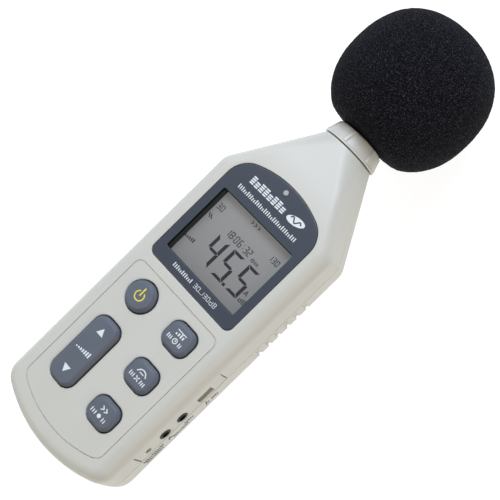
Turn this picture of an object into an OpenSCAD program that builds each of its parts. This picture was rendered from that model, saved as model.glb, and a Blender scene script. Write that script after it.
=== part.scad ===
// Hand-held sound level meter with a foam windscreen.
// +X runs to the right of the face, +Y towards the microphone, +Z out of the face.
// The origin is the centre of the tripod socket's mouth, in the flat back of the case.
// Heights h along the body are measured from the bottom edge of the case: see up().

/* [Case] */
// Width of the case at its widest
case_w = 70; // [66:1:74]
// Thickness of the case, back to face
case_t = 35; // [34:0.5:38]
// Height of the shoulder corners above the bottom edge
shoulder_h = 143.5; // [142:0.5:146]
// Height of the end face of the neck
neck_h = 182; // [180:0.5:186]
// Radius of the round end of the neck
neck_r = 13.6; // [13:0.1:14]
// Radius of the curved bottom edge, seen from the front
bottom_r = 70; // [60:1:80]
// Wall thickness of both shells
wall = 2.4; // [2.2:0.1:2.6]
// Height of the parting line above the back
parting_z = 18.5; // [18.4:0.1:19]
// Rounding of the long front edges
front_round = 6.5; // [6:0.5:7]
// Rounding of the long back edges
back_round = 11; // [10:0.5:12]

/* [Display] */
// Width of the display bezel
bezel_w = 52.2; // [50:0.1:54]
// Height of the bezel's lower edge
bezel_h0 = 91.4; // [91:0.1:92]
// Height of the top of the bezel's arch
bezel_h1 = 153.5; // [153:0.1:154]
// Width of the display window
window_w = 44; // [42:0.1:44]
// Height of the window's lower edge
window_h0 = 98.2; // [98:0.1:99]
// Height of the window's upper edge
window_h1 = 133.5; // [132:0.1:134]
// Depth of the liquid crystal glass below the face
lcd_depth = 5; // [4.8:0.1:5]

/* [Keys] */
// Diameter of the power key
power_d = 14.6; // [13:0.1:15]
// Width of the three small keys
key_w = 14.6; // [13:0.1:15]
// Length of the three small keys
key_l = 12.9; // [12:0.1:13.2]
// Width of the level rocker
rocker_w = 14.6; // [14:0.1:15.2]
// Length of the level rocker
rocker_l = 35.2; // [30:0.1:35.6]
// How far the keys stand above the face
key_proud = 2.2; // [1.4:0.1:2.4]
// Key travel
key_travel = 1; // [0.5:0.1:1]
// Gap between a key and its opening
key_gap = 0.35; // [0.3:0.05:0.4]

/* [Ports] */
// Height of the calibration trimmer's access hole
cal_h = 32.2; // [30:0.1:34]
// Height of the external power jack
power_jack_h = 42.2; // [41:0.1:43]
// Height of the signal output jack
output_jack_h = 52.3; // [51:0.1:54]
// Height of the data socket
data_h = 66; // [65:0.1:67]
// Height of the port centres above the back
port_z = 22.2; // [22:0.1:22.4]

/* [Microphone] */
// Height of the microphone axis above the back
mic_z = 17.5; // [17.3:0.1:17.7]
// Diameter of the microphone tube
mic_d = 12.7; // [12.5:0.1:12.9]
// Height of the microphone tip
mic_tip_h = 231; // [229:0.5:233]
// Height of the centre of the foam ball
ball_h = 220.9; // [220:0.1:222]
// Radius of the foam ball across its axis
ball_r = 34; // [33:0.1:35]
// Half length of the foam ball along its axis
ball_half = 33.6; // [33:0.1:34]
// Squareness of the foam ball's outline, where 2 is an ellipse
ball_power = 2.32; // [2.1:0.01:2.5]

/* [Back] */
// Height of the tripod socket above the bottom edge
socket_h = 100; // [97:1:104]
// Radius of the tripod thread's bore
socket_r = 2.55; // [2.5:0.05:2.6]
// Depth of the tripod thread
socket_l = 8; // [7:0.5:8]
// Width of the battery door
door_w = 58; // [57.6:0.1:58.2]
// Height of the door's lower edge
door_h0 = 18; // [18:0.1:18.6]
// Height of the door's upper edge
door_h1 = 76.4; // [76.2:0.1:77]

/* [Hidden] */

$fn = 64;
hull_fn = 32;
thin = 0.01;
eps = 0.05;

case_x = case_w / 2;
outer_steps = 4;
inner_steps = 2;
bottom_corner_r = 9.5;
shoulder_round = 9;
taper = 0.665;
taper_angle = atan(taper);
neck_stub = 2;
slab_top_h = 163;
mid_z = case_t / 2;
front_draft = 0.5;
face_inside_z = case_t - wall;

board_z = 25.6;
board_t = 1.6;
board_top = board_z + board_t;
board_x = 30.5;
board_h1 = 144;
lcd_top = case_t - lcd_depth;

power_pos = [-12.75, 75.2];
rocker_pos = [-13, 41.7];
key_x = 13.2;
max_key_h = 75.1;
weighting_key_h = 52.85;
response_key_h = 30.55;
key_corner = 4.4;
bezel_corner_r = 3.6;
arch_r = 50;
arch_shoulder_r = 12;
key_flange = 1;
flange_t = 1.2;
flange_top = face_inside_z - 0.3;
mat_t = 1;
dome_top = flange_top - flange_t - key_travel - 0.35;
stem_r = 2;
stem_z = board_top + 1.4;
chamfer_inset = 1.5;
chamfer_z = case_t + 0.7;
// Distance of the rocker's two domes from its middle
rocker_reach = 12;
// Centres of the rubber domes: one for each key and two for the rocker
dome_places = [power_pos, [key_x, max_key_h], [key_x, weighting_key_h],
               [key_x, response_key_h], [rocker_pos.x, rocker_pos.y - rocker_reach],
               [rocker_pos.x, rocker_pos.y + rocker_reach]];
dome_top_r = 3.4;
dome_hollow_r = 2.6;
contact_r = 2.2;
pad_w = 52.6;
pad_h0 = 9.9;
pad_h1 = 86.5;
pad_arc_r = 57;

cell_r = 7.05;
cell_l = 49.5;
cell_nub_r = 2.7;
cell_nub_l = 1;
cell_pitch = 14.25;
cell_z = 9.65;
bay_h0 = 20;
bay_h1 = 75.5;
bay_x = 28.8;
bay_roof = 17;
contact_t = 0.4;
spring_wire = 0.4;
spring_turns = 3;

screw_low = [24.5, 88];
screw_high = [20, 151];
screw_head_r = 2.8;
screw_r = 1.3;
screw_head_z = 6.8;
counterbore_z = 9;
boss_r = 3.4;
board_screw_low = [27.6, 21];
board_screw_high = [27.6, 137];

collar_gap = 0.5;
collar_base_r = 14.1;
collar_top_r = 11.2;
collar_h1 = neck_h + 8.2;
collar_ribs = 6;
foam_clearance = 0.08;
foam_bore_h = mic_tip_h + 1.5;
foam_mouth_r = 12.6;
foam_mouth_h = collar_h1 + 0.6;
neck_bore_r = 10.4;
trimmer_x = 31.2;
cal_hole_r = 1.5;
cal_screw_r = 1.22;
jack_nose_r = 2.7;
jack_bore_r = 1.8;
jack_hole_r = 2.85;
slot_w = 8.2;
panel_h0 = 26;
panel_h1 = 77.3;
panel_t = 9.4;
panel_lean = 4.5;
panel_depth = 0.1;
slot_t = 4.4;
led_h = 150;
led_r = 1.3;
led_hole_r = 1.5;
recess_z = case_t - 1.4;
grip_count = 6;
grip_h0 = 94;
grip_pitch = 5.64;
grip_w = 1.8;
grip_depth = 0.9;
// Heights and distances above the back of the points of the microphone's lead
lead_route = [[0, 158, mic_z + 1.5], [0, 156, mic_z + 1.6], [0.2, 153.5, mic_z + 2],
              [0.4, 151.5, mic_z + 3], [0.4, 150, mic_z + 4.5], [0.3, 149.2, mic_z + 6],
              [0.2, 149, board_z - 0.1]];

// Height above the bottom edge as a Y coordinate
function up(h) = h - socket_h;
// Unit vector from a to b
function towards(a, b) = (b - a) / norm(b - a);
// Points of the arc that rounds corner b between a and c with radius r
function corner(a, b, c, r, n = 6) =
    let (u = towards(b, a),
         v = towards(b, c),
         half = acos(max(-1, min(1, u * v))) / 2,
         centre = b + (u + v) / norm(u + v) * r / sin(half),
         p = b + u * r / tan(half) - centre,
         q = b + v * r / tan(half) - centre,
         turn = p.x * q.y - p.y * q.x > 0 ? 180 - 2 * half : 2 * half - 180)
    [for (i = [0:n]) centre + [p.x * cos(turn * i / n) - p.y * sin(turn * i / n),
                               p.x * sin(turn * i / n) + p.y * cos(turn * i / n)]];
// Closed outline through corner points, each with its own radius
function rounded(points, radii, n = 6) =
    let (count = len(points))
    [for (i = [0:count - 1])
        each corner(points[(i + count - 1) % count], points[i],
                    points[(i + 1) % count], radii[i], n)];
// Points of a shallow arc that bulges to low Y, from the left end to the right end
function sagging_arc(x, r, low_y, n = 12) =
    let (a = asin(x / r))
    [for (i = [-n:n]) [r * sin(a * i / n), low_y + r - r * cos(a * i / n)]];
// Points of an arc round a centre, from angle a0 to a1
function arc_points(centre, r, a0, a1, n) =
    [for (i = [0:n]) let (a = a0 + (a1 - a0) * i / n) centre + r * [cos(a), sin(a)]];
function rounded_rect(w, l, r, n = 6) =
    rounded([[-w / 2, -l / 2], [w / 2, -l / 2], [w / 2, l / 2], [-w / 2, l / 2]],
            [r, r, r, r], n);
// Radius of the foam ball at a distance t along its axis from its centre
function ball_radius(t) =
    ball_r * pow(max(0, 1 - pow(abs(t) / ball_half, ball_power)), 1 / ball_power);

// Right half of the case outline, drawn in by inset, from the bottom to the top
function case_half(inset, n) =
    let (x = case_x - inset,
         r = max(1, bottom_corner_r - inset),
         big = bottom_r - inset,
         centre = [x - r, up(bottom_r) - sqrt(pow(big - r, 2) - pow(x - r, 2))],
         meet = asin((x - r) / (big - r)),
         sharp_h = shoulder_h - inset * tan(taper_angle / 2),
         top_h = slab_top_h - inset,
         top_x = case_x - taper * (top_h - shoulder_h) - inset / cos(taper_angle))
    concat(
        [for (i = [0:2 * n - 1]) let (a = meet * i / (2 * n))
            [big * sin(a), up(bottom_r) - big * cos(a)]],
        [for (i = [0:n + 1]) let (a = meet + (90 - meet) * i / (n + 1))
            centre + r * [sin(a), -cos(a)]],
        corner([x, up(100)], [x, up(sharp_h)], [top_x, up(top_h)],
               max(1, shoulder_round - inset), n),
        [[top_x, up(top_h)]]);
// Whole case outline: the right half and its mirror image
function case_ring(inset, n) =
    let (half = case_half(inset, n), count = len(half))
    concat(half, [for (i = [count - 1:-1:1]) [-half[i].x, half[i].y]]);
// Heights and insets of the case's levels, from the back to the face
function case_levels(shrink, n) =
    let (high = case_t - shrink,
         rf = front_round - shrink,
         rb = back_round - shrink)
    concat(
        [for (i = [n:-1:0]) let (a = 90 * i / n)
            [shrink + rb * (1 - sin(a)), shrink + rb * (1 - cos(a))]],
        [[parting_z, shrink]],
        [for (i = [0:n]) let (a = 90 * i / n)
            [high - rf * (1 - sin(a)), shrink + front_draft + rf * (1 - cos(a))]]);

// Solid of the whole case, drawn in on every side by shrink, with n steps in each round
module case_solid(shrink, n) {
    levels = case_levels(shrink, n);
    count = len(case_ring(0, n));
    last = len(levels) - 1;
    hull() {
        polyhedron(
            [for (level = levels) each [for (p = case_ring(level[1], n)) [p.x, p.y, level[0]]]],
            concat(
                [[for (k = [0:count - 1]) k]],
                [for (i = [0:last - 1], k = [0:count - 1])
                    [i * count + k, (i + 1) * count + k, (i + 1) * count + (k + 1) % count,
                     i * count + (k + 1) % count]],
                [[for (k = [count - 1:-1:0]) last * count + k]]));
        translate([0, up(neck_h), mid_z]) rotate([90, 0, 0])
            cylinder(r = neck_r - shrink, h = neck_stub, $fn = hull_fn);
    }
}

// Hollow of the case: it stops short of the neck's end wall
module case_hollow() {
    difference() {
        case_solid(wall, inner_steps);
        translate([-case_w, up(neck_h) - wall, -1]) cube([2 * case_w, 20, case_t + 2]);
    }
}

// Half of the space: everything above or below the parting line
module half_space(above) {
    z = above ? parting_z : parting_z - 2 * case_t;
    translate([-case_w, up(-20), z]) cube([2 * case_w, neck_h + 40, 2 * case_t]);
}

module both_sides() {
    for (side = [-1, 1]) scale([side, 1, 1]) children();
}

// Upright cylinder at x, height h, from z0 to z1
module post(at, r, z0, z1) {
    translate([at.x, up(at.y), z0]) cylinder(r = r, h = z1 - z0);
}

// Cylinder along +X from x0 to x1 at height h and level z
module across(h, z, r, x0, x1) {
    translate([x0, up(h), z]) rotate([0, 90, 0]) cylinder(r = r, h = x1 - x0);
}

// Cylinder along the microphone axis from height h0 to h1
module along_mic(r, h0, h1) {
    translate([0, up(h0), mic_z]) rotate([-90, 0, 0]) cylinder(r = r, h = h1 - h0);
}

module box(x0, x1, h0, h1, z0, z1) {
    translate([x0, up(h0), z0]) cube([x1 - x0, h1 - h0, z1 - z0]);
}

// Outline of the display bezel: straight sides and an arched top with round shoulders
module bezel_outline(grow) {
    x = bezel_w / 2 + grow;
    low = up(bezel_h0 - grow);
    middle = up(120);
    reach = arch_r - arch_shoulder_r;
    shoulder_x = bezel_w / 2 - arch_shoulder_r;
    lean = acos(shoulder_x / reach);
    arch_y = up(bezel_h1) - arch_r;
    shoulder_y = arch_y + reach * sin(lean);
    polygon(concat(
        corner([-x, middle], [-x, low], [0, low], bezel_corner_r, 8),
        corner([0, low], [x, low], [x, middle], bezel_corner_r, 8),
        arc_points([shoulder_x, shoulder_y], arch_shoulder_r + grow, 0, lean, 8),
        arc_points([0, arch_y], arch_r + grow, lean + 2, 178 - lean, 16),
        arc_points([-shoulder_x, shoulder_y], arch_shoulder_r + grow, 180 - lean, 180, 8)));
}

// Outline of the display's opening
module window_outline(grow) {
    translate([0, up((window_h0 + window_h1) / 2)])
        polygon(rounded_rect(window_w + 2 * grow, window_h1 - window_h0 + 2 * grow, 1 + grow));
}

// Thin groove that frames the keypad
module pad_outline(grow) {
    x = pad_w / 2 + grow;
    arc_x = x - 3;
    arc_h = pad_arc_r - sqrt(pad_arc_r * pad_arc_r - arc_x * arc_x);
    polygon(concat(
        sagging_arc(arc_x, pad_arc_r, up(pad_h0 - grow)),
        corner([arc_x, up(pad_h0 + arc_h)], [x, up(pad_h0 + arc_h + 2.6)], [x, up(50)], 4),
        corner([x, up(50)], [x, up(pad_h1 + grow)], [0, up(pad_h1 + grow)], 3.6),
        corner([0, up(pad_h1 + grow)], [-x, up(pad_h1 + grow)], [-x, up(50)], 3.6),
        corner([-x, up(50)], [-x, up(pad_h0 + arc_h + 2.6)], [-arc_x, up(pad_h0 + arc_h)], 4)));
}

// Outlines of the small keys and of the rocker, each drawn at its place
module key_outline(h, grow) {
    translate([key_x, up(h)])
        polygon(rounded_rect(key_w + 2 * grow, key_l + 2 * grow, key_corner + grow));
}

module rocker_outline(grow) {
    translate([rocker_pos.x, up(rocker_pos.y)])
        polygon(rounded_rect(rocker_w + 2 * grow, rocker_l + 2 * grow, 5 + grow));
}

module key_openings() {
    z = face_inside_z - 1;
    deep = wall + 2;
    post(power_pos, power_d / 2 + key_gap, z, z + deep);
    for (h = [max_key_h, weighting_key_h, response_key_h])
        translate([0, 0, z]) linear_extrude(deep) key_outline(h, key_gap);
    translate([0, 0, z]) linear_extrude(deep) rocker_outline(key_gap + 0.1);
}

module port_openings() {
    x0 = case_x - 7;
    x1 = case_x + 2;
    across(cal_h, port_z, cal_hole_r, x0, x1);
    for (h = [power_jack_h, output_jack_h]) across(h, port_z, jack_hole_r, x0, x1);
    box(x0, x1, data_h - slot_w / 2, data_h + slot_w / 2,
        port_z - slot_t / 2, port_z + slot_t / 2);
    translate([case_x - panel_depth, up(panel_h0), parting_z])
        rotate([0, -panel_lean, 0]) cube([4, panel_h1 - panel_h0, panel_t]);
}

module front_shell() {
    color([0.79, 0.79, 0.76])
    difference() {
        union() {
            difference() {
                intersection() {
                    case_solid(0, outer_steps);
                    half_space(true);
                }
                case_hollow();
            }
            both_sides() {
                for (p = [screw_low, screw_high])
                    post(p, boss_r, parting_z + 0.1, face_inside_z + eps);
                for (p = [board_screw_low, board_screw_high])
                    post(p, 2.4, board_top, face_inside_z + eps);
            }
        }
        both_sides() {
            for (p = [screw_low, screw_high]) post(p, screw_r + 0.05, parting_z - 1, face_inside_z - 1.5);
            for (p = [board_screw_low, board_screw_high])
                post(p, 1.05, board_top - 1, face_inside_z - 1);
        }
        translate([0, 0, recess_z]) linear_extrude(3) bezel_outline(0.2);
        translate([0, 0, face_inside_z - 1]) linear_extrude(4) window_outline(2.6);
        post([0, led_h], led_hole_r, face_inside_z - 1, case_t);
        difference() {
            translate([0, 0, case_t - 0.4]) linear_extrude(3) pad_outline(0.25);
            translate([0, 0, case_t - 0.5]) linear_extrude(4) pad_outline(-0.25);
        }
        key_openings();
        port_openings();
        along_mic(neck_bore_r, neck_h - wall - 1, neck_h + 1);
    }
}

module grip_grooves() {
    for (i = [0:grip_count - 1])
        box(case_x - grip_depth, case_x + 2, grip_h0 + grip_pitch * i - grip_w / 2,
            grip_h0 + grip_pitch * i + grip_w / 2, -1, parting_z - 1.2);
}

module rear_shell() {
    color([0.77, 0.77, 0.73])
    difference() {
        union() {
            difference() {
                intersection() {
                    case_solid(0, outer_steps);
                    half_space(false);
                }
                case_hollow();
            }
            intersection() {
                case_solid(wall / 2, inner_steps);
                union() {
                    difference() {
                        box(-bay_x - 1.5, bay_x + 1.5, bay_h0 - 1.5, bay_h1 + 1.5,
                            0, bay_roof + 1.3);
                        box(-bay_x, bay_x, bay_h0, bay_h1, -1, bay_roof);
                    }
                    post([0, socket_h], 7.5, 0, socket_l + 3);
                    both_sides() {
                        for (p = [screw_low, screw_high])
                            post(p, boss_r + 0.4, 0, parting_z - 0.1);
                    }
                }
            }
        }
        box(-door_w / 2 - 0.3, door_w / 2 + 0.3, door_h0 - 0.3, door_h1 + 0.3, -1, wall - 0.1);
        box(-bay_x, bay_x, bay_h0, bay_h1, -1, wall + 1);
        post([0, socket_h], 5, -1, socket_l + 1);
        both_sides() {
            for (p = [screw_low, screw_high]) {
                post(p, screw_head_r + 0.3, -1, counterbore_z);
                post(p, 1.7, -1, parting_z + 1);
            }
            grip_grooves();
        }
        along_mic(neck_bore_r, neck_h - wall - 1, neck_h + 1);
    }
}

// The door swings out about its lower edge, so that edge is cut back
module battery_door() {
    color([0.77, 0.77, 0.73])
    difference() {
        intersection() {
            case_solid(0, outer_steps);
            box(-door_w / 2, door_w / 2, door_h0, door_h1, -1, wall - 0.3);
        }
        for (i = [0:4])
            box(-9, 9, door_h1 - 13 + 2 * i, door_h1 - 12 + 2 * i, -1, 0.5);
    }
}

module case_screws() {
    color("silver")
    both_sides() for (p = [screw_low, screw_high]) difference() {
        union() {
            post(p, screw_head_r, screw_head_z, counterbore_z);
            post(p, screw_r, counterbore_z - 0.1, face_inside_z - 4);
        }
        translate([p.x, up(p.y), screw_head_z + 0.4]) {
            cube([3, 0.7, 1.6], center = true);
            cube([0.7, 3, 1.6], center = true);
        }
    }
}

module tripod_nut() {
    color("goldenrod")
    difference() {
        post([0, socket_h], 5, 0, socket_l);
        post([0, socket_h], socket_r, -1, socket_l + 1);
    }
}

// Tapered ring that closes the neck and carries the microphone tube
module neck_collar() {
    base = neck_h + collar_gap;
    color([0.8, 0.8, 0.77])
    difference() {
        union() {
            along_mic(neck_bore_r - 0.2, neck_h - 6, base + eps);
            translate([0, up(base), mic_z]) rotate([-90, 0, 0])
                rotate_extrude() polygon([
                    [0, 0], [collar_base_r, 0], [collar_top_r + 0.2, collar_h1 - base - 0.8],
                    [collar_top_r - 0.5, collar_h1 - base], [0, collar_h1 - base]]);
            for (i = [0:collar_ribs - 1])
                translate([0, up(base), mic_z]) rotate([0, 60 * i, 0])
                    translate([-0.7, 0, 0]) rotate([90, 0, 90]) linear_extrude(1.4)
                        polygon([[0, 10], [0, collar_base_r + 0.45], [7, collar_top_r + 0.55],
                                 [7.2, 10]]);
        }
        along_mic(mic_d / 2, neck_h - 10, collar_h1 + 1);
        along_mic(8.6, collar_h1 - 2, collar_h1 + 1);
    }
}

module display_bezel() {
    color([0.30, 0.33, 0.38])
    difference() {
        translate([0, 0, case_t - 1.35]) linear_extrude(1.2) bezel_outline(0);
        translate([0, 0, case_t - 3]) linear_extrude(4) window_outline(0);
        post([0, led_h], led_hole_r - 0.05, case_t - 3, case_t + 1);
    }
}

module display_window() {
    color([0.85, 0.9, 0.92, 0.35])
    translate([0, 0, face_inside_z + 0.05]) linear_extrude(0.95) window_outline(2.3);
}

module lcd_frame() {
    color([0.06, 0.06, 0.07])
    difference() {
        translate([0, 0, board_top]) linear_extrude(face_inside_z - board_top)
            window_outline(3.4);
        translate([0, 0, board_top - 1]) linear_extrude(lcd_top - board_top + 1)
            window_outline(2.1);
        translate([0, 0, board_top - 1]) linear_extrude(10) window_outline(0.1);
    }
}

module lcd_glass() {
    color([0.58, 0.59, 0.58])
    translate([0, 0, lcd_top - 2]) linear_extrude(2) window_outline(2);
}

module lcd_backlight() {
    color([0.9, 0.92, 0.88])
    box(-window_w / 2 - 1, window_w / 2 + 1, window_h0 + 1, window_h1 - 1,
        board_top, lcd_top - 2);
}

module zebra_strips() {
    color([0.15, 0.15, 0.17])
    for (h = [window_h0 - 1.7, window_h1 - 0.1])
        box(-window_w / 2 + 1, window_w / 2 - 1, h, h + 1.8, board_top, lcd_top - 2);
}

module status_led() {
    color([0.92, 0.94, 0.95])
    translate([0, up(led_h), 0]) {
        translate([0, 0, board_top]) cylinder(r = led_r, h = case_t - 0.1 - board_top);
        intersection() {
            translate([0, 0, case_t - 0.9]) sphere(r = 1.36);
            translate([0, 0, case_t - 0.1 - eps]) cylinder(r = led_r, h = 2);
        }
    }
}

module keypad_mat() {
    color([0.38, 0.41, 0.46])
    difference() {
        union() {
            box(-24, 24, 16, 84, board_top, board_top + mat_t);
            for (p = dome_places)
                translate([p.x, up(p.y), board_top]) cylinder(r1 = 5.5, r2 = dome_top_r,
                                                              h = dome_top - board_top);
        }
        for (p = dome_places) post(p, dome_hollow_r, board_top - 1, dome_top + 1);
    }
}

module key_contacts() {
    color("goldenrod")
    for (p = dome_places) post(p, contact_r, board_top, board_top + 0.12);
}

// Round rubber key with a chamfered top, a flange under the face and a stem on its dome
module power_key() {
    color([0.43, 0.45, 0.49])
    translate([power_pos.x, up(power_pos.y), 0]) {
        translate([0, 0, flange_top]) cylinder(d = power_d, h = chamfer_z - flange_top);
        translate([0, 0, chamfer_z])
            cylinder(d1 = power_d, d2 = power_d - 2 * chamfer_inset,
                     h = case_t + key_proud - chamfer_z);
        translate([0, 0, flange_top - flange_t])
            cylinder(d = power_d + 2 * key_flange, h = flange_t);
        translate([0, 0, stem_z]) cylinder(r = stem_r, h = flange_top - flange_t - stem_z);
    }
}

// Small rubber key at height h
module small_key(h) {
    color([0.43, 0.45, 0.49]) {
        translate([0, 0, flange_top]) linear_extrude(chamfer_z - flange_top) key_outline(h, 0);
        hull() {
            translate([0, 0, chamfer_z]) linear_extrude(thin) key_outline(h, 0);
            translate([0, 0, case_t + key_proud - thin]) linear_extrude(thin)
                key_outline(h, -chamfer_inset);
        }
        translate([0, 0, flange_top - flange_t]) linear_extrude(flange_t)
            key_outline(h, key_flange);
        post([key_x, h], stem_r, stem_z, flange_top - flange_t);
    }
}

module max_key() {
    small_key(max_key_h);
}

module weighting_key() {
    small_key(weighting_key_h);
}

module response_key() {
    small_key(response_key_h);
}

module level_rocker() {
    color([0.43, 0.45, 0.49]) {
        translate([0, 0, flange_top - flange_t])
            linear_extrude(chamfer_z - flange_top + flange_t) rocker_outline(0);
        hull() {
            translate([0, 0, chamfer_z]) linear_extrude(thin) rocker_outline(0);
            translate([0, 0, case_t + key_proud - thin]) linear_extrude(thin)
                rocker_outline(-chamfer_inset);
        }
        box(rocker_pos.x - rocker_w / 2 - key_flange, rocker_pos.x + rocker_w / 2 + key_flange,
            rocker_pos.y - 3, rocker_pos.y + 3, flange_top - flange_t, flange_top);
        for (dy = [-rocker_reach, rocker_reach])
            post([rocker_pos.x, rocker_pos.y + dy], stem_r, stem_z, flange_top - flange_t);
    }
}

module main_board() {
    color("darkgreen")
    difference() {
        translate([0, 0, board_z]) linear_extrude(board_t) polygon([
            [-20, up(9)], [20, up(9)], [board_x, up(19)], [board_x, up(board_h1 - 4)],
            [board_x - 8, up(board_h1)], [6, up(board_h1)], [6, up(board_h1 + 10)],
            [-6, up(board_h1 + 10)], [-6, up(board_h1)], [8 - board_x, up(board_h1)],
            [-board_x, up(board_h1 - 4)], [-board_x, up(19)]]);
        both_sides() {
            post(screw_low, boss_r + 0.4, board_z - 1, board_top + 1);
            for (p = [board_screw_low, board_screw_high])
                post(p, 1.4, board_z - 1, board_top + 1);
        }
    }
}

module board_chips() {
    color([0.1, 0.1, 0.11]) {
        box(-7, 7, 84, 98, board_z - 1.6, board_z);
        box(-20, -12, 60, 66, board_z - 1.5, board_z);
        box(-20, -12, 72, 78, board_z - 1.5, board_z);
        box(2, 12, 104, 109, board_z - 1.5, board_z);
        box(-16, -10, 104, 109, board_z - 1.5, board_z);
        for (i = [0:5]) box(-22 + 6 * i, -19 + 6 * i, 51, 52.6, board_z - 0.8, board_z);
        for (h = [32, 44]) post([-23, h], 3, board_z - 5.5, board_z);
    }
}

module shield_can() {
    color("silver")
    difference() {
        box(-14, 14, 114, 134, board_z - 4, board_z);
        box(-13.6, 13.6, 114.4, 133.6, board_z - 3.6, board_z + 1);
    }
}

module board_screws() {
    color("silver")
    both_sides() for (p = [board_screw_low, board_screw_high]) {
        post(p, 2.1, board_z - 1.4, board_z);
        post(p, 1, board_z - 0.1, board_top + 4);
    }
}

// Shell of the data socket, open towards +X
module data_socket() {
    x1 = case_x - 3.2;
    color("silver") {
        difference() {
            box(x1 - 8.6, x1, data_h - 3.85, data_h + 3.85, port_z - 2, port_z + 2);
            box(x1 - 8.2, x1 + 1, data_h - 3.45, data_h + 3.45, port_z - 1.6, port_z + 1.6);
        }
        box(x1 - 8.2, x1 - 1.5, data_h - 2.4, data_h + 2.4, port_z - 0.4, port_z + 0.3);
        for (dy = [-3.85, 3.15])
            box(x1 - 6, x1 - 3, data_h + dy, data_h + dy + 0.7, port_z + 1.9, board_z);
    }
}

// 3.5 mm jack socket: a block on the board and a round nose in the case wall
module jack_socket(h) {
    nose_x = case_x - 0.2;
    block_x = case_x - 3;
    color([0.07, 0.07, 0.08])
    difference() {
        union() {
            box(block_x - 11, block_x, h - 3.1, h + 3.1, port_z - 3, board_z);
            across(h, port_z, jack_nose_r, block_x - 1, nose_x);
        }
        across(h, port_z, jack_bore_r, nose_x - 13, nose_x + 1);
    }
}

module output_jack() {
    jack_socket(output_jack_h);
}

module power_jack() {
    jack_socket(power_jack_h);
}

module cal_trimmer() {
    color("royalblue")
    difference() {
        box(trimmer_x - 10, trimmer_x - 0.6, cal_h - 2.4, cal_h + 2.4, port_z - 3, board_z);
        across(cal_h, port_z, cal_screw_r + 0.08, trimmer_x - 4, trimmer_x + 1);
    }
}

module cal_screw() {
    color("goldenrod")
    difference() {
        across(cal_h, port_z, cal_screw_r, trimmer_x - 3.8, trimmer_x);
        box(trimmer_x - 0.7, trimmer_x + 1, cal_h - 0.25, cal_h + 0.25, port_z - 2, port_z + 2);
    }
}

// Cell number i, counted from the left; neighbours point opposite ways
module cell(i) {
    x = (i - 1.5) * cell_pitch;
    upright = i % 2 == 0;
    low = upright ? bay_h1 - contact_t - cell_nub_l - cell_l : bay_h0 + contact_t + cell_nub_l;
    nub = upright ? low + cell_l - eps : low - cell_nub_l;
    translate([x, 0, cell_z]) rotate([-90, 0, 0]) {
        color([0.16, 0.17, 0.19]) translate([0, 0, up(low)]) cylinder(r = cell_r, h = cell_l);
        color("silver") translate([0, 0, up(nub)])
            cylinder(r = cell_nub_r, h = cell_nub_l + eps);
    }
}

module cell_1() {
    cell(0);
}

module cell_2() {
    cell(1);
}

module cell_3() {
    cell(2);
}

module cell_4() {
    cell(3);
}

// Tube with a hexagonal section swept along a list of points; side is never along the path
module swept_wire(path, r, side) {
    sides = 6;
    last = len(path) - 1;
    rings = [for (i = [0:last])
        let (d = towards(path[max(0, i - 1)], path[min(last, i + 1)]),
             u = towards([0, 0, 0], cross(d, side)),
             v = cross(d, u))
        each [for (k = [0:sides - 1])
            path[i] + r * (u * cos(360 * k / sides) + v * sin(360 * k / sides))]];
    polyhedron(rings, concat(
        [[for (k = [0:sides - 1]) k]],
        [for (i = [0:last - 1], k = [0:sides - 1])
            [i * sides + k, (i + 1) * sides + k, (i + 1) * sides + (k + 1) % sides,
             i * sides + (k + 1) % sides]],
        [[for (k = [sides - 1:-1:0]) last * sides + k]]), convexity = 6);
}

// Conical contact springs, wide end on the wall of the bay
module battery_springs() {
    steps = 10 * spring_turns;
    room = bay_h1 - bay_h0 - 2 * contact_t - cell_l - cell_nub_l - 2 * spring_wire - 0.1;
    color("silver")
    for (i = [0:3]) {
        upright = i % 2 == 0;
        wall_h = upright ? bay_h0 + contact_t + spring_wire + eps
                         : bay_h1 - contact_t - spring_wire - eps;
        swept_wire([for (k = [0:steps])
            let (s = k / steps, a = 36 * k, r = 4.6 - 2 * s)
            [(i - 1.5) * cell_pitch + r * cos(a), up(wall_h + (upright ? 1 : -1) * room * s),
             cell_z + r * sin(a)]], spring_wire, [0, 1, 0]);
    }
}

module battery_contacts() {
    color("silver") {
        for (x = [-1, 1]) box(x * cell_pitch - 11, x * cell_pitch + 11, bay_h0,
                              bay_h0 + contact_t, cell_z - 5, cell_z + 5);
        box(-11, 11, bay_h1 - contact_t, bay_h1, cell_z - 5, cell_z + 5);
        for (x = [-1.5, 1.5]) box(x * cell_pitch - 5, x * cell_pitch + 5, bay_h1 - contact_t,
                                  bay_h1, cell_z - 5, cell_z + 5);
    }
}

module mic_tube() {
    color("silver")
    difference() {
        along_mic(mic_d / 2, neck_h - 12, mic_tip_h - 7);
        along_mic(mic_d / 2 - 0.6, neck_h - 13, mic_tip_h - 6);
    }
}

module mic_capsule() {
    color([0.75, 0.76, 0.78])
    along_mic(mic_d / 2 - 0.65, mic_tip_h - 14, mic_tip_h - 7);
}

// Protective grid: a cap with slots over the capsule
module mic_grid() {
    color("silver")
    difference() {
        along_mic(mic_d / 2, mic_tip_h - 7, mic_tip_h);
        along_mic(mic_d / 2 - 0.7, mic_tip_h - 8, mic_tip_h - 0.8);
        for (dx = [-3, -1.5, 0, 1.5, 3])
            box(dx - 0.35, dx + 0.35, mic_tip_h - 2, mic_tip_h + 1,
                mic_z - sqrt(22 - dx * dx), mic_z + sqrt(22 - dx * dx));
    }
}

module mic_seal() {
    color([0.1, 0.1, 0.1])
    translate([0, up(collar_h1 - 1), mic_z]) rotate([-90, 0, 0])
        rotate_extrude() translate([mic_d / 2 + 1.05, 0]) circle(r = 0.95);
}

module mic_board() {
    color("darkgreen")
    box(-5, 5, 156, neck_h + 6, mic_z - 0.8, mic_z + 0.8);
}

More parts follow.
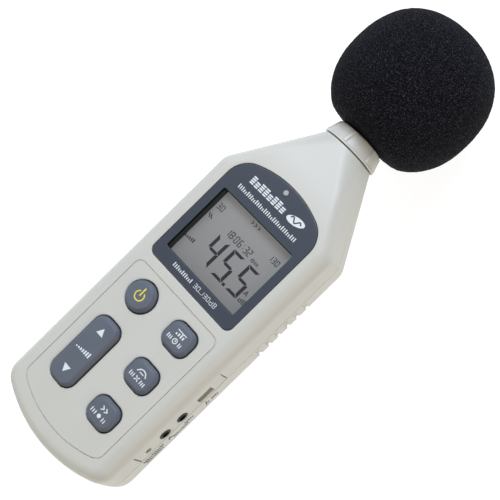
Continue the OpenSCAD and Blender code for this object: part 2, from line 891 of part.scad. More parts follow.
// Screened lead from the microphone's board to the main board
module mic_lead() {
    color([0.2, 0.2, 0.22])
    swept_wire([for (p = lead_route) [p.x, up(p.y), p.z]], 0.6, [1, 0, 0]);
}

// Foam ball with a bore for the tube and a mouth that seats round the collar
module windscreen() {
    start = ball_h - ball_half;
    steps = 28;
    color([0.11, 0.11, 0.13])
    difference() {
        translate([0, up(ball_h), mic_z]) rotate([-90, 0, 0]) rotate_extrude()
            polygon(concat([[0, -ball_half]],
                [for (i = [1:steps - 1])
                    let (t = -ball_half * cos(180 * i / steps)) [ball_radius(t), t]],
                [[0, ball_half]]));
        along_mic(mic_d / 2 + foam_clearance, start - 1, foam_bore_h);
        along_mic(foam_mouth_r, start - 1, foam_mouth_h);
    }
}

front_shell();
rear_shell();
battery_door();
case_screws();
tripod_nut();
neck_collar();
display_bezel();
display_window();
lcd_frame();
lcd_glass();
lcd_backlight();
zebra_strips();
status_led();
keypad_mat();
power_key();
level_rocker();
max_key();
weighting_key();
response_key();
key_contacts();
main_board();
board_chips();
board_screws();
shield_can();
data_socket();
output_jack();
power_jack();
cal_trimmer();
cal_screw();
cell_1();
cell_2();
cell_3();
cell_4();
battery_springs();
battery_contacts();
mic_tube();
mic_capsule();
mic_grid();
mic_seal();
mic_board();
mic_lead();
windscreen();
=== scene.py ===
"""Looks of a hand-held sound level meter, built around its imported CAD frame.

Lengths are in millimetres until a mesh is made. Heights h run along the body from the bottom edge
of the case, as on a drawing, and up() turns one into a Y coordinate of the frame. X runs to the
right of the face and Z out of it, with z = 0 in the flat back.
"""

from math import (
    acos, asin, atan, atan2, cos, degrees, hypot, pi, radians, sin, sqrt, tan, tau)

import bmesh
import bpy
from mathutils import Matrix, Vector, noise


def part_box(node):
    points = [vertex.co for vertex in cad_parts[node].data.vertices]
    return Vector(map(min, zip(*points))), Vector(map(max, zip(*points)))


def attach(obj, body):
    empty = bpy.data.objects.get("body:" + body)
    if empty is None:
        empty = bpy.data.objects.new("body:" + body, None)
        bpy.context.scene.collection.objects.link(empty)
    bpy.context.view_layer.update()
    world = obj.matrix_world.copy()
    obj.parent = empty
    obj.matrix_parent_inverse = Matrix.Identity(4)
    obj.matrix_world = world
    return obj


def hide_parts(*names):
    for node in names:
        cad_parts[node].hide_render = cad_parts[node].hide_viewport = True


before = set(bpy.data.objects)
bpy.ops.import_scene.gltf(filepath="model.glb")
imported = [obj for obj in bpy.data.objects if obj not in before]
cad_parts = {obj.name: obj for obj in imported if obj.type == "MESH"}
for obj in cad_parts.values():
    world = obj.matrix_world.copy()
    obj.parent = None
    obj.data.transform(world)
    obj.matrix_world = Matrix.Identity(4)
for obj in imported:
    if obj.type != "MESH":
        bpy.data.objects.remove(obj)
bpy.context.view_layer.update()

MM = 0.001


# ---- sizes taken from the frame


def node_box(node):
    """Lowest and highest corner of a CAD node in millimetres."""
    low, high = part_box(node)
    return low / MM, high / MM


front_low, front_high = node_box("front_shell")
bezel_low, bezel_high = node_box("display_bezel")
ball_low, ball_high = node_box("windscreen")

BOTTOM_Y = node_box("rear_shell")[0].y
CASE_X = front_high.x
CASE_T = front_high.z
PARTING_Z = front_low.z
NECK_H = front_high.y - BOTTOM_Y
KEY_TOP = node_box("max_key")[1].z
LCD_TOP = node_box("lcd_glass")[1].z
WINDOW_BACK = node_box("display_window")[0].z
BEZEL_TOP = bezel_high.z
MIC_Z = (ball_low.z + ball_high.z) / 2
TUBE_END_H = node_box("mic_tube")[1].y - BOTTOM_Y


def up(h):
    """Height above the bottom edge of the case as a Y coordinate."""
    return h + BOTTOM_Y


# ---- sizes shared with the CAD

WALL = 2.4
FACE_INSIDE = CASE_T - WALL
SHOULDER_H = 143.5
SHOULDER_ROUND = 9
NECK_R = 13.6
NECK_STUB = 2
SLAB_TOP_H = 163
BOTTOM_R = 70
BOTTOM_CORNER_R = 9.5
FRONT_ROUND = 6.5
BACK_ROUND = 11
FRONT_DRAFT = 0.5
TAPER = 0.665
TAPER_ANGLE = atan(TAPER)
FRONT_SLOPE = 0.153
BEND_REACH = 6.5
BEND_STEPS = 6
NECK_BORE_R = 10.4

BEZEL_X = 26.1
BEZEL_H0 = 91.4
BEZEL_H1 = 153.5
BEZEL_CORNER_R = 3.6
ARCH_R = 50
ARCH_SHOULDER_R = 12
WINDOW_X = 22
PAD_H0 = 9.9
PAD_H1 = 86.5
WINDOW_H0 = 98.2
WINDOW_H1 = 133.5

POWER_POS = (-12.75, 75.2)
POWER_R = 7.15
ROCKER_POS = (-13, 41.7)
ROCKER_W = 14.3
ROCKER_L = 34.9
KEY_X = 13.2
KEY_HEIGHTS = {"max_key": 75.1, "weighting_key": 52.85, "response_key": 30.55}
KEY_W = 14.3
KEY_L = 12.6
KEY_CORNER = 4.4
ROCKER_CORNER = 5
KEY_GAP = 0.5
KEY_RIM = 0.7
FLANGE_TOP = 32.3
FLANGE_T = 1.2
STEM_Z = 28.6

GRIP_H0 = 94
GRIP_PITCH = 5.64
GRIP_COUNT = 6
GRIP_R = 0.9

PORT_Z = 22.2
CAL_H = 32.2
JACK_HEIGHTS = (42.2, 52.3)
JACK_HOLE_R = 2.8
CAL_HOLE_R = 1.5
DATA_H = 66
DATA_L = 8.2
DATA_W = 4.4
PANEL_H0 = 26
PANEL_H1 = 77.3
PANEL_T = 9.4
PANEL_LEAN = 4.5
PANEL_DEPTH = 0.1
LED_H = 150
LED_R = 1.3

SCREW_LOW = (24.5, 88)
SCREW_HIGH = (20, 151)
BOARD_SCREW_LOW = (27.6, 21)
BOARD_SCREW_HIGH = (27.6, 137)
BOARD_TOP = 27.2
FRONT_BOSS_R = 3.4
REAR_BOSS_R = 3.8
BOARD_POST_R = 2.4
PILOT_R = 1.2
SCREW_HOLE_R = 1.7
SCREW_WELL_R = 3.1
SOCKET_H = 100
SOCKET_BOSS_R = 7.5
NUT_R = 5
BAY_X = 28.8
BAY_H0 = 20
BAY_H1 = 75.5
BAY_ROOF = 17
DOOR_X = 29
DOOR_H0 = 18
DOOR_H1 = 76.4
DOOR_CORNER = 2.2

BALL_H = 220.9
BALL_R = 34
BALL_HALF = 33.6
BALL_POWER = 2.32
BALL_BORE_R = 6.43


# ---- outlines


def corner(a, b, c, radius, steps):
    """Points of the arc that rounds corner b between a and c."""
    a, b, c = Vector(a), Vector(b), Vector(c)
    u = (a - b).normalized()
    v = (c - b).normalized()
    half = acos(max(-1, min(1, u.dot(v)))) / 2
    centre = b + (u + v).normalized() * (radius / sin(half))
    p = b + u * (radius / tan(half)) - centre
    q = b + v * (radius / tan(half)) - centre
    turn = pi - 2 * half
    if p.x * q.y - p.y * q.x < 0:
        turn = -turn
    made = []
    for i in range(steps + 1):
        t = turn * i / steps
        x = p.x * cos(t) - p.y * sin(t)
        y = p.x * sin(t) + p.y * cos(t)
        made.append((centre.x + x, centre.y + y))
    return made


def rounded(points, radii, steps=8):
    """Closed outline through corner points, each with its own radius."""
    count = len(points)
    made = []
    for i in range(count):
        before, after = points[i - 1], points[(i + 1) % count]
        made += corner(before, points[i], after, radii[i], steps)
    return made


def rectangle(x, y, width, height):
    u, v = width / 2, height / 2
    return [(x - u, y - v), (x + u, y - v), (x + u, y + v), (x - u, y + v)]


def rounded_rect(x, y, width, height, radius):
    return rounded(rectangle(x, y, width, height), [radius] * 4)


def circle(x, y, radius, sides=64):
    angles = [tau * i / sides for i in range(sides)]
    return [(x + radius * cos(a), y + radius * sin(a)) for a in angles]


def arc_points(x, y, radius, start, end, steps):
    """Points of an arc round x, y between two angles in degrees."""
    angles = [radians(start + (end - start) * i / steps) for i in range(steps + 1)]
    return [(x + radius * cos(a), y + radius * sin(a)) for a in angles]


def bezel_outline(grow):
    """Straight sides and an arched top with round shoulders."""
    x = BEZEL_X + grow
    low, middle = up(BEZEL_H0 - grow), up(120)
    reach = ARCH_R - ARCH_SHOULDER_R
    shoulder_x = BEZEL_X - ARCH_SHOULDER_R
    lean = degrees(acos(shoulder_x / reach))
    arch_y = up(BEZEL_H1) - ARCH_R
    shoulder_y = arch_y + reach * sin(radians(lean))
    shoulder_r = ARCH_SHOULDER_R + grow
    made = corner((-x, middle), (-x, low), (0, low), BEZEL_CORNER_R, 10)
    made += corner((0, low), (x, low), (x, middle), BEZEL_CORNER_R, 10)
    made += arc_points(shoulder_x, shoulder_y, shoulder_r, 0, lean, 14)
    made += arc_points(0, arch_y, ARCH_R + grow, lean + 1, 179 - lean, 40)
    made += arc_points(-shoulder_x, shoulder_y, shoulder_r, 180 - lean, 180, 14)
    return made


def window_outline(grow):
    middle = up((WINDOW_H0 + WINDOW_H1) / 2)
    height = WINDOW_H1 - WINDOW_H0 + 2 * grow
    return rounded_rect(0, middle, 2 * (WINDOW_X + grow), height, 1 + max(grow, -0.6))


def pad_outline(grow):
    """Outline of the thin groove that frames the keypad."""
    x = BEZEL_X + 0.2 + grow
    arc_r = 57
    arc_x = x - 3
    low = up(PAD_H0 - grow)
    span = degrees(asin(arc_x / arc_r))
    foot = arc_points(0, low + arc_r, arc_r, 270 - span, 270 + span, 28)
    rise = up(PAD_H0 + arc_r - sqrt(arc_r**2 - arc_x**2))
    top = up(PAD_H1 + grow)
    middle = up(50)
    side = corner((arc_x, rise), (x, rise + 2.6), (x, middle), 4, 8)
    side += corner((x, middle), (x, top), (0, top), 3.6, 8)
    return foot + side + [(-u, v) for u, v in reversed(side)]


def round_outline(x, h, radius, sides=48):
    return lambda grow: circle(x, up(h), radius + grow, sides)


def rect_outline(x, h, width, length, radius):
    def outline(grow):
        return rounded_rect(x, up(h), width + 2 * grow, length + 2 * grow, radius + grow)

    return outline


def small_key_outline(h):
    return rect_outline(KEY_X, h, KEY_W, KEY_L, KEY_CORNER)


power_outline = round_outline(*POWER_POS, POWER_R, 64)
rocker_outline = rect_outline(*ROCKER_POS, ROCKER_W, ROCKER_L, ROCKER_CORNER)
door_outline = rect_outline(
    0, (DOOR_H0 + DOOR_H1) / 2, 2 * DOOR_X, DOOR_H1 - DOOR_H0, DOOR_CORNER)


# ---- the case's own form


def case_half(inset, steps):
    """Right half of the case outline, drawn in by inset, from the bottom to the top."""
    x = CASE_X - inset
    r = max(1, BOTTOM_CORNER_R - inset)
    big = BOTTOM_R - inset
    centre_y = up(BOTTOM_R) - sqrt((big - r) ** 2 - (x - r) ** 2)
    meet = asin((x - r) / (big - r))
    sharp = up(SHOULDER_H - inset * tan(TAPER_ANGLE / 2))
    top_h = SLAB_TOP_H - inset
    top = up(top_h)
    top_x = CASE_X - TAPER * (top_h - SHOULDER_H) - inset / cos(TAPER_ANGLE)
    made = []
    for i in range(2 * steps):
        a = meet * i / (2 * steps)
        made.append((big * sin(a), up(BOTTOM_R) - big * cos(a)))
    for i in range(steps + 2):
        a = meet + (pi / 2 - meet) * i / (steps + 1)
        made.append((x - r + r * sin(a), centre_y - r * cos(a)))
    radius = max(1, SHOULDER_ROUND - inset)
    made += corner((x, 0), (x, sharp), (top_x, top), radius, steps)
    made.append((top_x, top))
    return made


def both_halves(half):
    return half + [(-x, y) for x, y in reversed(half[1:])]


def case_levels(shrink, steps):
    """(z, inset) of each level of the case, from the back to the face."""
    high = CASE_T - shrink
    front, back = FRONT_ROUND - shrink, BACK_ROUND - shrink
    made = []
    for i in range(steps, -1, -1):
        a = pi / 2 * i / steps
        made.append((shrink + back * (1 - sin(a)), shrink + back * (1 - cos(a))))
    made.append((PARTING_Z, shrink))
    for i in range(steps + 1):
        a = pi / 2 * i / steps
        inset = shrink + FRONT_DRAFT + front * (1 - cos(a))
        made.append((high - front * (1 - sin(a)), inset))
    return made


# ---- solids


def add_object(name, data):
    made = bpy.data.objects.new(name, data)
    bpy.context.scene.collection.objects.link(made)
    return made


def new_object(name, points, faces):
    """Mesh object in the frame from points in millimetres."""
    mesh = bpy.data.meshes.new(name)
    mesh.from_pydata([(x * MM, y * MM, z * MM) for x, y, z in points], [], faces)
    mesh.update()
    return add_object(name, mesh)


def object_from(bm, name):
    """Mesh object that takes over what a bmesh holds."""
    mesh = bpy.data.meshes.new(name)
    bm.to_mesh(mesh)
    bm.free()
    return add_object(name, mesh)


def outward(obj):
    """Turns every face outward."""
    bm = bmesh.new()
    bm.from_mesh(obj.data)
    bmesh.ops.recalc_face_normals(bm, faces=bm.faces)
    bm.to_mesh(obj.data)
    bm.free()
    return obj


def hull(name, points):
    bm = bmesh.new()
    for x, y, z in points:
        bm.verts.new((x * MM, y * MM, z * MM))
    result = bmesh.ops.convex_hull(bm, input=bm.verts)
    loose = [v for v in result["geom_interior"] + result["geom_unused"]
             if isinstance(v, bmesh.types.BMVert)]
    bmesh.ops.delete(bm, geom=list(set(loose)), context="VERTS")
    bmesh.ops.recalc_face_normals(bm, faces=bm.faces)
    return object_from(bm, name)


def case_hull(name, shrink, steps):
    """Case body; the front's fold at the foot of the neck is rounded into a slow bend."""
    points = []
    for z, inset in case_levels(shrink, steps):
        half = case_half(inset, steps)
        if z <= PARTING_Z:
            points += [(x, y, z) for x, y in both_halves(half)]
            continue
        fold_x, fold_y = half.pop()
        points += [(x, y, z) for x, y in both_halves(half)]
        for i in range(BEND_STEPS + 1):
            along = 2 * BEND_REACH * i / BEND_STEPS
            x = fold_x - TAPER * (along - BEND_REACH)
            drop = FRONT_SLOPE * along ** 2 / (4 * BEND_REACH)
            points += [(side * x, fold_y + along - BEND_REACH, z - drop) for side in (-1, 1)]
    r = NECK_R - shrink
    soft = 0.35
    sides = 8 * steps
    for radius, h in ((r, NECK_H - NECK_STUB), (r, NECK_H - soft), (r - soft, NECK_H)):
        points += [(x, up(h), z + CASE_T / 2) for x, z in circle(0, 0, radius, sides)]
    return hull(name, points)


def ring_solid(name, points, rings, closed=False):
    """Solid skinned over rings of points; without closed, the two end rings are capped."""
    count = len(points) // rings
    faces = []
    for i in range(rings if closed else rings - 1):
        j = (i + 1) % rings
        for k in range(count):
            n = (k + 1) % count
            faces.append((i * count + k, i * count + n, j * count + n, j * count + k))
    if not closed:
        faces.append(tuple(reversed(range(count))))
        faces.append(tuple(range((rings - 1) * count, rings * count)))
    return outward(new_object(name, points, faces))


UPRIGHT = "xyz"
SIDEWAYS = "yzx"


def place(axes, u, v, w):
    """UPRIGHT draws an outline in XY and raises it along Z. SIDEWAYS draws it in YZ along X."""
    return (u, v, w) if axes == UPRIGHT else (w, u, v)


def loft(name, outline, profile, axes=UPRIGHT, closed=False):
    """Solid through outline(grow) at each (grow, level) of the profile."""
    points = []
    for grow, level in profile:
        points += [place(axes, u, v, level) for u, v in outline(grow)]
    return ring_solid(name, points, len(profile), closed)


def prism(name, outline, low, high, axes=UPRIGHT):
    return loft(name, lambda grow: outline, [(0, low), (0, high)], axes)


def box(name, x0, x1, h0, h1, z0, z1):
    outline = [(x0, up(h0)), (x1, up(h0)), (x1, up(h1)), (x0, up(h1))]
    return prism(name, outline, z0, z1)


def arc_profile(level, radius, steps=5):
    """(grow, level) of points along a rim's rounding, from upright to flat."""
    made = []
    for i in range(steps + 1):
        a = pi / 2 * i / steps
        made.append((radius * (1 - cos(a)), level - radius + radius * sin(a)))
    return made


def opening(name, outline, low, rim, top=CASE_T, axes=UPRIGHT):
    """Cutter for an opening with a soft rim, in a flat face at level top."""
    profile = [(0, low)] + arc_profile(top, rim) + [(rim, top + 3)]
    return loft(name, outline, profile, axes)


def sweep(name, path, radius, sides=16):
    """Round rod along a path of points."""
    points = []
    last = len(path) - 1
    for i, p in enumerate(path):
        d = (Vector(path[min(last, i + 1)]) - Vector(path[max(0, i - 1)])).normalized()
        side = Vector((0, 1, 0)) if abs(d.y) < 0.9 else Vector((1, 0, 0))
        u = d.cross(side).normalized()
        v = d.cross(u)
        for k in range(sides):
            a = tau * k / sides
            points.append(Vector(p) + radius * (u * cos(a) + v * sin(a)))
    return ring_solid(name, points, len(path))


def combine(obj, tool, operation="DIFFERENCE"):
    """Applies one exact boolean with a closed tool, and removes the tool."""
    modifier = obj.modifiers.new("combine", "BOOLEAN")
    modifier.solver = "MANIFOLD"
    modifier.operation = operation
    modifier.object = tool
    graph = bpy.context.evaluated_depsgraph_get()
    graph.update()
    mesh = bpy.data.meshes.new_from_object(obj.evaluated_get(graph))
    obj.modifiers.clear()
    old, obj.data = obj.data, mesh
    bpy.data.meshes.remove(old)
    bpy.data.objects.remove(tool)
    return obj


def cut(obj, *tools):
    for tool in tools:
        combine(obj, tool)
    return obj


def post(at, side, radius, z0, z1):
    """Upright rod at (x, height), on the left for side -1 and on the right for side 1."""
    return prism("post", circle(side * at[0], up(at[1]), radius, 32), z0, z1)


def along_mic(radius, h0, h1):
    """Rod along the microphone's axis."""
    points = []
    for h in (h0, h1):
        points += [(x, up(h), MIC_Z + z) for x, z in circle(0, 0, radius)]
    return ring_solid("rod", points, 2)


def neck_bore():
    return along_mic(NECK_BORE_R, NECK_H - 6, NECK_H + 1)


def tidy_mesh(obj, angle=35):
    """Merges slivers and sets smooth shading with sharp edges above an angle."""
    bm = bmesh.new()
    bm.from_mesh(obj.data)
    bmesh.ops.remove_doubles(bm, verts=bm.verts, dist=0.002 * MM)
    bmesh.ops.dissolve_degenerate(bm, edges=bm.edges, dist=0.002 * MM)
    bm.to_mesh(obj.data)
    bm.free()
    smooth(obj, angle)
    return obj


def smooth(obj, angle):
    obj.data.shade_smooth()
    obj.data.set_sharp_from_angle(angle=radians(angle))
    weighted = obj.modifiers.new("normals", "WEIGHTED_NORMAL")
    weighted.keep_sharp = True
    weighted.weight = 80
    return obj


# ---- materials


def set_inputs(node, values):
    for socket, value in values.items():
        node.inputs[socket].default_value = value


class Look:
    """A node material in the making."""

    def __init__(self, name):
        self.material = bpy.data.materials.new(name)
        self.material.use_nodes = True
        self.tree = self.material.node_tree
        self.shader = self.tree.nodes["Principled BSDF"]
        self.coordinates = self.tree.nodes.new("ShaderNodeTexCoord").outputs["Object"]

    def node(self, kind, values, wires):
        """Node with its sockets set, and others wired to the outputs given in wires."""
        made = self.tree.nodes.new("ShaderNode" + kind)
        set_inputs(made, values)
        for socket, output in wires.items():
            self.tree.links.new(output, made.inputs[socket])
        return made

    def noise(self, per_metre, detail=2, rough=0.5, at=None):
        values = {"Scale": per_metre, "Detail": detail, "Roughness": rough}
        wires = {"Vector": at or self.coordinates}
        return self.node("TexNoise", values, wires).outputs["Fac"]

    def ramp(self, value, stops):
        made = self.node("ValToRGB", {}, {"Fac": value})
        elements = made.color_ramp.elements
        while len(elements) < len(stops):
            elements.new(0.5)
        for element, (position, color) in zip(elements, stops):
            element.position = position
            element.color = (*color, 1)
        return made.outputs["Color"]

    def spread(self, value, low, high):
        """Maps the middle of a noise to the range from low to high."""
        values = {"From Min": 0.3, "From Max": 0.7, "To Min": low, "To Max": high}
        return self.node("MapRange", values, {"Value": value}).outputs["Result"]

    def dress(self, color, roughness, height=None, depth_mm=0.01, strength=1):
        """Wires colour, roughness and a relief to the shader."""
        self.tree.links.new(color, self.shader.inputs["Base Color"])
        self.tree.links.new(roughness, self.shader.inputs["Roughness"])
        if height is not None:
            values = {"Distance": depth_mm * MM, "Strength": strength}
            relief = self.node("Bump", values, {"Height": height})
            self.tree.links.new(relief.outputs["Normal"], self.shader.inputs["Normal"])


def shades(color, low, high):
    """Colour stops over the middle of a noise, from a darker to a lighter shade."""
    dark, light = (tuple(min(1, c * factor) for c in color) for factor in (low, high))
    return [(0.3, dark), (0.7, light)]


def moulded(name, color, roughness, variation=0.04, grain=2600, grain_depth=0.02,
            cloud=28, specular=0.5, metallic=0, coat=0):
    """Moulded or machined surface: broad colour clouds, uneven gloss and a fine grain."""
    look = Look(name)
    clouds = look.spread(look.noise(cloud, 4), 0.1, 0.4)
    fine = look.noise(grain, 3, 0.6)
    both = look.node("Math", {1: 0.5}, {0: fine, 2: clouds})
    both.operation = "MULTIPLY_ADD"
    tone = look.ramp(both.outputs["Value"], shades(color, 1 - variation, 1 + variation))
    gloss = look.spread(fine, roughness - 0.05, roughness + 0.05)
    look.dress(tone, gloss, fine, grain_depth)
    set_inputs(look.shader, {"Specular IOR Level": specular, "Metallic": metallic,
                             "Coat Weight": coat})
    return look.material


def brushed(name, color, roughness, stretch):
    """Turned or brushed metal: a noise drawn out along one axis."""
    look = Look(name)
    mapping = look.node("Mapping", {"Scale": stretch}, {"Vector": look.coordinates})
    lines = look.noise(900, 3, at=mapping.outputs["Vector"])
    tone = look.ramp(lines, shades(color, 0.88, 1.06))
    gloss = look.spread(lines, roughness - 0.08, roughness + 0.1)
    look.dress(tone, gloss, lines, 0.01, 0.6)
    set_inputs(look.shader, {"Metallic": 1})
    return look.material


def foam_material():
    """Open-cell foam: dark cells, and sparse lighter flecks painted in as highlights where struts
    catch the light.
    """
    look = Look("open_cell_foam")
    cells = look.node("TexVoronoi", {"Scale": 1500, "Randomness": 1}, {"Vector": look.coordinates})
    flecks = look.noise(1900, 4, 0.75)
    # the lightest stop is a painted highlight on the struts
    stops = [(0.42, (0.0026, 0.0026, 0.004)), (0.54, (0.0074, 0.0076, 0.0109)),
             (0.66, (0.074, 0.0766, 0.0974))]
    both = look.node("Math", {}, {0: cells.outputs["Distance"], 1: flecks})
    both.operation = "ADD"
    look.dress(look.ramp(flecks, stops), look.spread(flecks, 0.95, 0.7),
          both.outputs["Value"], 0.5)
    set_inputs(look.shader, {"Specular IOR Level": 0.06})
    return look.material


def lcd_material():
    """Reflective liquid crystal panel: grey polariser with painted light, a little lighter towards
    the top where the light falls from, and a faint painted glow.
    """
    look = Look("lcd_polariser")
    values = {"Rotation": (0, 0, radians(-95)), "Scale": (25, 25, 25), "Location": (0.1, 0, 0)}
    mapping = look.node("Mapping", values, {"Vector": look.coordinates})
    # painted light: the panel grows lighter towards the top, where the light falls from
    painted_light_slope = look.node("TexGradient", {}, {"Vector": mapping.outputs["Vector"]})
    stops = [(0, (0.108, 0.108, 0.106)), (1, (0.18, 0.18, 0.178))]
    tone = look.ramp(painted_light_slope.outputs["Fac"], stops)
    speck = look.noise(3800, 2)
    mix = look.node("MixRGB", {"Fac": 0.1}, {"Color1": tone, "Color2": speck})
    mix.blend_type = "OVERLAY"
    look.dress(mix.outputs["Color"], look.spread(speck, 0.42, 0.5))
    # painted light: a faint glow that stands in for a backlight and lifts the shade the bezel casts
    # on the panel
    set_inputs(look.shader, {"Specular IOR Level": 0.25, "Emission Color": (0.98, 1, 0.98, 1),
                        "Emission Strength": 0.115})
    return look.material


def window_material():
    """Thin clear pane with a faint haze."""
    look = Look("clear_pane")
    haze = look.noise(60, 3)
    stops = [(0.3, (0.3, 0.33, 0.35)), (0.7, (0.4, 0.43, 0.45))]
    look.dress(look.ramp(haze, stops), look.spread(haze, 0.05, 0.09))
    set_inputs(look.shader, {"Alpha": 0.03})
    return look.material


def board_material():
    """Green solder mask with faint copper tracks under it."""
    look = Look("solder_mask")
    values = {"Scale": 420, "Mortar Size": 0.03, "Color1": (0.01, 0.085, 0.03, 1),
              "Color2": (0.014, 0.105, 0.04, 1), "Mortar": (0.03, 0.17, 0.07, 1)}
    tracks = look.node("TexBrick", values, {"Vector": look.coordinates})
    fine = look.noise(1500, 2)
    look.dress(tracks.outputs["Color"], look.spread(fine, 0.3, 0.42), fine)
    return look.material


def floor_material():
    """Pale paper that glows a little, so that the background stays white."""
    look = Look("floor_paper")
    fibres = look.noise(6, 3)
    stops = [(0.3, (0.29, 0.29, 0.29)), (0.7, (0.31, 0.31, 0.31))]
    look.tree.links.new(look.ramp(fibres, stops), look.shader.inputs["Base Color"])
    set_inputs(look.shader, {"Roughness": 0.9, "Specular IOR Level": 0.1,
                        "Emission Color": (1, 1, 1, 1), "Emission Strength": 0.9})
    return look.material


materials = {
    "case": moulded("case_plastic", (0.56, 0.56, 0.52), 0.46, 0.018, 3000, 0.022, 22),
    "collar": moulded("collar_plastic", (0.6, 0.6, 0.565), 0.4, 0.02, 3000, 0.015, 40),
    "bezel": moulded("bezel_plastic", (0.047, 0.058, 0.078), 0.36, 0.05, 3600, 0.012, 30),
    "key": moulded("key_rubber", (0.103, 0.121, 0.156), 0.55, 0.05, 3400, 0.022, 60),
    "print": moulded("white_print", (0.7, 0.73, 0.76), 0.5, 0.03, 5000, 0.004, 200),
    "yellow": moulded("yellow_print", (0.74, 0.62, 0.07), 0.5, 0.04, 5000, 0.004, 200),
    "dark_print": moulded("dark_print", (0.022, 0.02, 0.018), 0.6, 0.06, 5000, 0.004, 200),
    "segment": moulded("lcd_segment", (0.01, 0.011, 0.018), 0.6, 0.06, 5000, 0.002, 200, 0.15),
    "faint_segment": moulded(
        "lcd_small_segment", (0.036, 0.036, 0.044), 0.6, 0.06, 5000, 0.002, 200, 0.15),
    "black": moulded("black_plastic", (0.009, 0.009, 0.01), 0.5, 0.1, 2600, 0.02, 80, 0.25),
    "border": moulded("black_border", (0.006, 0.006, 0.007), 0.6, 0.1, 2600, 0.01, 80, 0.1),
    "contact": moulded("contact_rubber", (0.02, 0.02, 0.021), 0.8, 0.1, 2600, 0.03, 80),
    "led": moulded("clear_lens", (0.42, 0.44, 0.46), 0.08, 0.1, 900, 0.004, 400, 0.8, coat=0.8),
    "guide": moulded("light_guide", (0.82, 0.84, 0.8), 0.3, 0.03, 900, 0.01, 60),
    "gold": moulded("gold_contacts", (0.8, 0.58, 0.22), 0.3, 0.05, 2000, 0.005, 90, metallic=1),
    "brass": brushed("brass_insert", (0.66, 0.48, 0.2), 0.34, (1, 1, 0.1)),
    "steel": brushed("steel_screws", (0.46, 0.46, 0.47), 0.36, (1, 0.15, 1)),
    "tin": brushed("tinned_steel", (0.62, 0.63, 0.64), 0.34, (1, 0.15, 1)),
    "mic": brushed("mic_metal", (0.58, 0.59, 0.61), 0.26, (0.1, 1, 0.1)),
    # beige plastic with painted light: paler than the case, so that it stays light in the shade of
    # the data slot
    "socket": moulded("socket_plastic_painted_light", (0.7, 0.66, 0.54), 0.5, 0.04, 2600, 0.01, 80),
    "blue": moulded("blue_trimmer", (0.03, 0.1, 0.4), 0.35, 0.06, 2600, 0.01, 90),
    "cell": moulded("cell_jacket", (0.07, 0.08, 0.1), 0.32, 0.12, 1800, 0.01, 60, coat=0.2),
    "lead": moulded("lead_jacket", (0.04, 0.04, 0.045), 0.6, 0.1, 2600, 0.02, 90),
    "foam": foam_material(),
    "lcd": lcd_material(),
    "pane": window_material(),
    "board": board_material(),
}

CAD_MATERIALS = {
    "steel": ["case_screws", "board_screws"],
    "brass": ["tripod_nut", "cal_screw"],
    "pane": ["display_window"],
    "black": ["lcd_frame", "board_chips", "output_jack", "power_jack"],
    "lcd": ["lcd_glass"],
    "guide": ["lcd_backlight"],
    "contact": ["zebra_strips", "mic_seal"],
    "key": ["keypad_mat"],
    "gold": ["key_contacts"],
    "board": ["main_board", "mic_board"],
    "tin": ["shield_can", "battery_springs", "battery_contacts"],
    "socket": ["data_socket"],
    "blue": ["cal_trimmer"],
    "cell": ["cell_1", "cell_2", "cell_3", "cell_4"],
    "mic": ["mic_tube", "mic_capsule", "mic_grid"],
    "lead": ["mic_lead"],
}


def paint(obj, finish):
    obj.data.materials.clear()
    obj.data.materials.append(materials[finish])


for cad_finish, cad_nodes in CAD_MATERIALS.items():
    for cad_node in cad_nodes:
        paint(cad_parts[cad_node], cad_finish)


def piece(obj, finish, body="root", stands_for=()):
    """Gives a finished mesh its material, its body and the nodes it replaces."""
    paint(obj, finish)
    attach(obj, body)
    if stands_for:
        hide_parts(*stands_for)


# ---- case shells


def parting_outline(grow):
    """Case outline where the shells meet: straight from the shoulders to the neck."""
    beyond = 3
    lean = (CASE_X - NECK_R) / (NECK_H - SHOULDER_H)
    half = case_half(-grow, 10)[:-1]
    half.append((NECK_R + grow - lean * beyond, up(NECK_H + beyond)))
    return both_halves(half)


def parting_groove():
    """Cutter for the fine line round the case where the shells meet."""
    profile = [(-0.28, PARTING_Z), (0.3, PARTING_Z - 0.4), (0.3, PARTING_Z + 0.4)]
    return loft("groove", parting_outline, profile, closed=True)


def case_hollow():
    hollow = case_hull("hollow", WALL, 4)
    return cut(hollow, box("end", -60, 60, NECK_H - WALL, NECK_H + 20, -5, CASE_T + 5))


def half_space(above):
    low = PARTING_Z if above else PARTING_Z - 80
    return box("half", -80, 80, -30, NECK_H + 40, low, low + 80)


def outline_groove(outline, width, depth):
    """Cutter for a thin groove that follows an outline in the face."""
    w = width / 2
    profile = [(-w - 0.08, CASE_T + 0.2), (-w, CASE_T - 0.06), (-w * 0.5, CASE_T - depth),
               (w * 0.5, CASE_T - depth), (w, CASE_T - 0.06), (w + 0.08, CASE_T + 0.2)]
    return loft("groove", outline, profile, closed=True)


def port_panel():
    """Cutter for the flat panel round the ports: it deepens from the parting line upwards."""
    middle = up((PANEL_H0 + PANEL_H1) / 2)
    outline = rounded_rect(middle, PANEL_T / 2 - 1, PANEL_H1 - PANEL_H0, PANEL_T + 2, 1.4)
    panel = prism("panel", outline, 0, 4, SIDEWAYS)
    lean = Matrix.Rotation(radians(-PANEL_LEAN), 4, "Y")
    at = Matrix.Translation(Vector((CASE_X - PANEL_DEPTH, 0, PARTING_Z)) * MM)
    panel.data.transform(at @ lean)
    return outward(panel)


def panel_ends():
    """Cutters for the narrow shadow gaps at both ends of the port panel."""
    top = PARTING_Z + PANEL_T - 0.3
    made = []
    for h in (PANEL_H0 + 0.2, PANEL_H1 - 0.2):
        outline = rounded_rect(
            up(h), (PARTING_Z + 0.5 + top) / 2, 0.55, top - PARTING_Z - 0.5, 0.25)
        made.append(prism("panel_end", outline, CASE_X - 1.5, CASE_X + 1, SIDEWAYS))
    return made


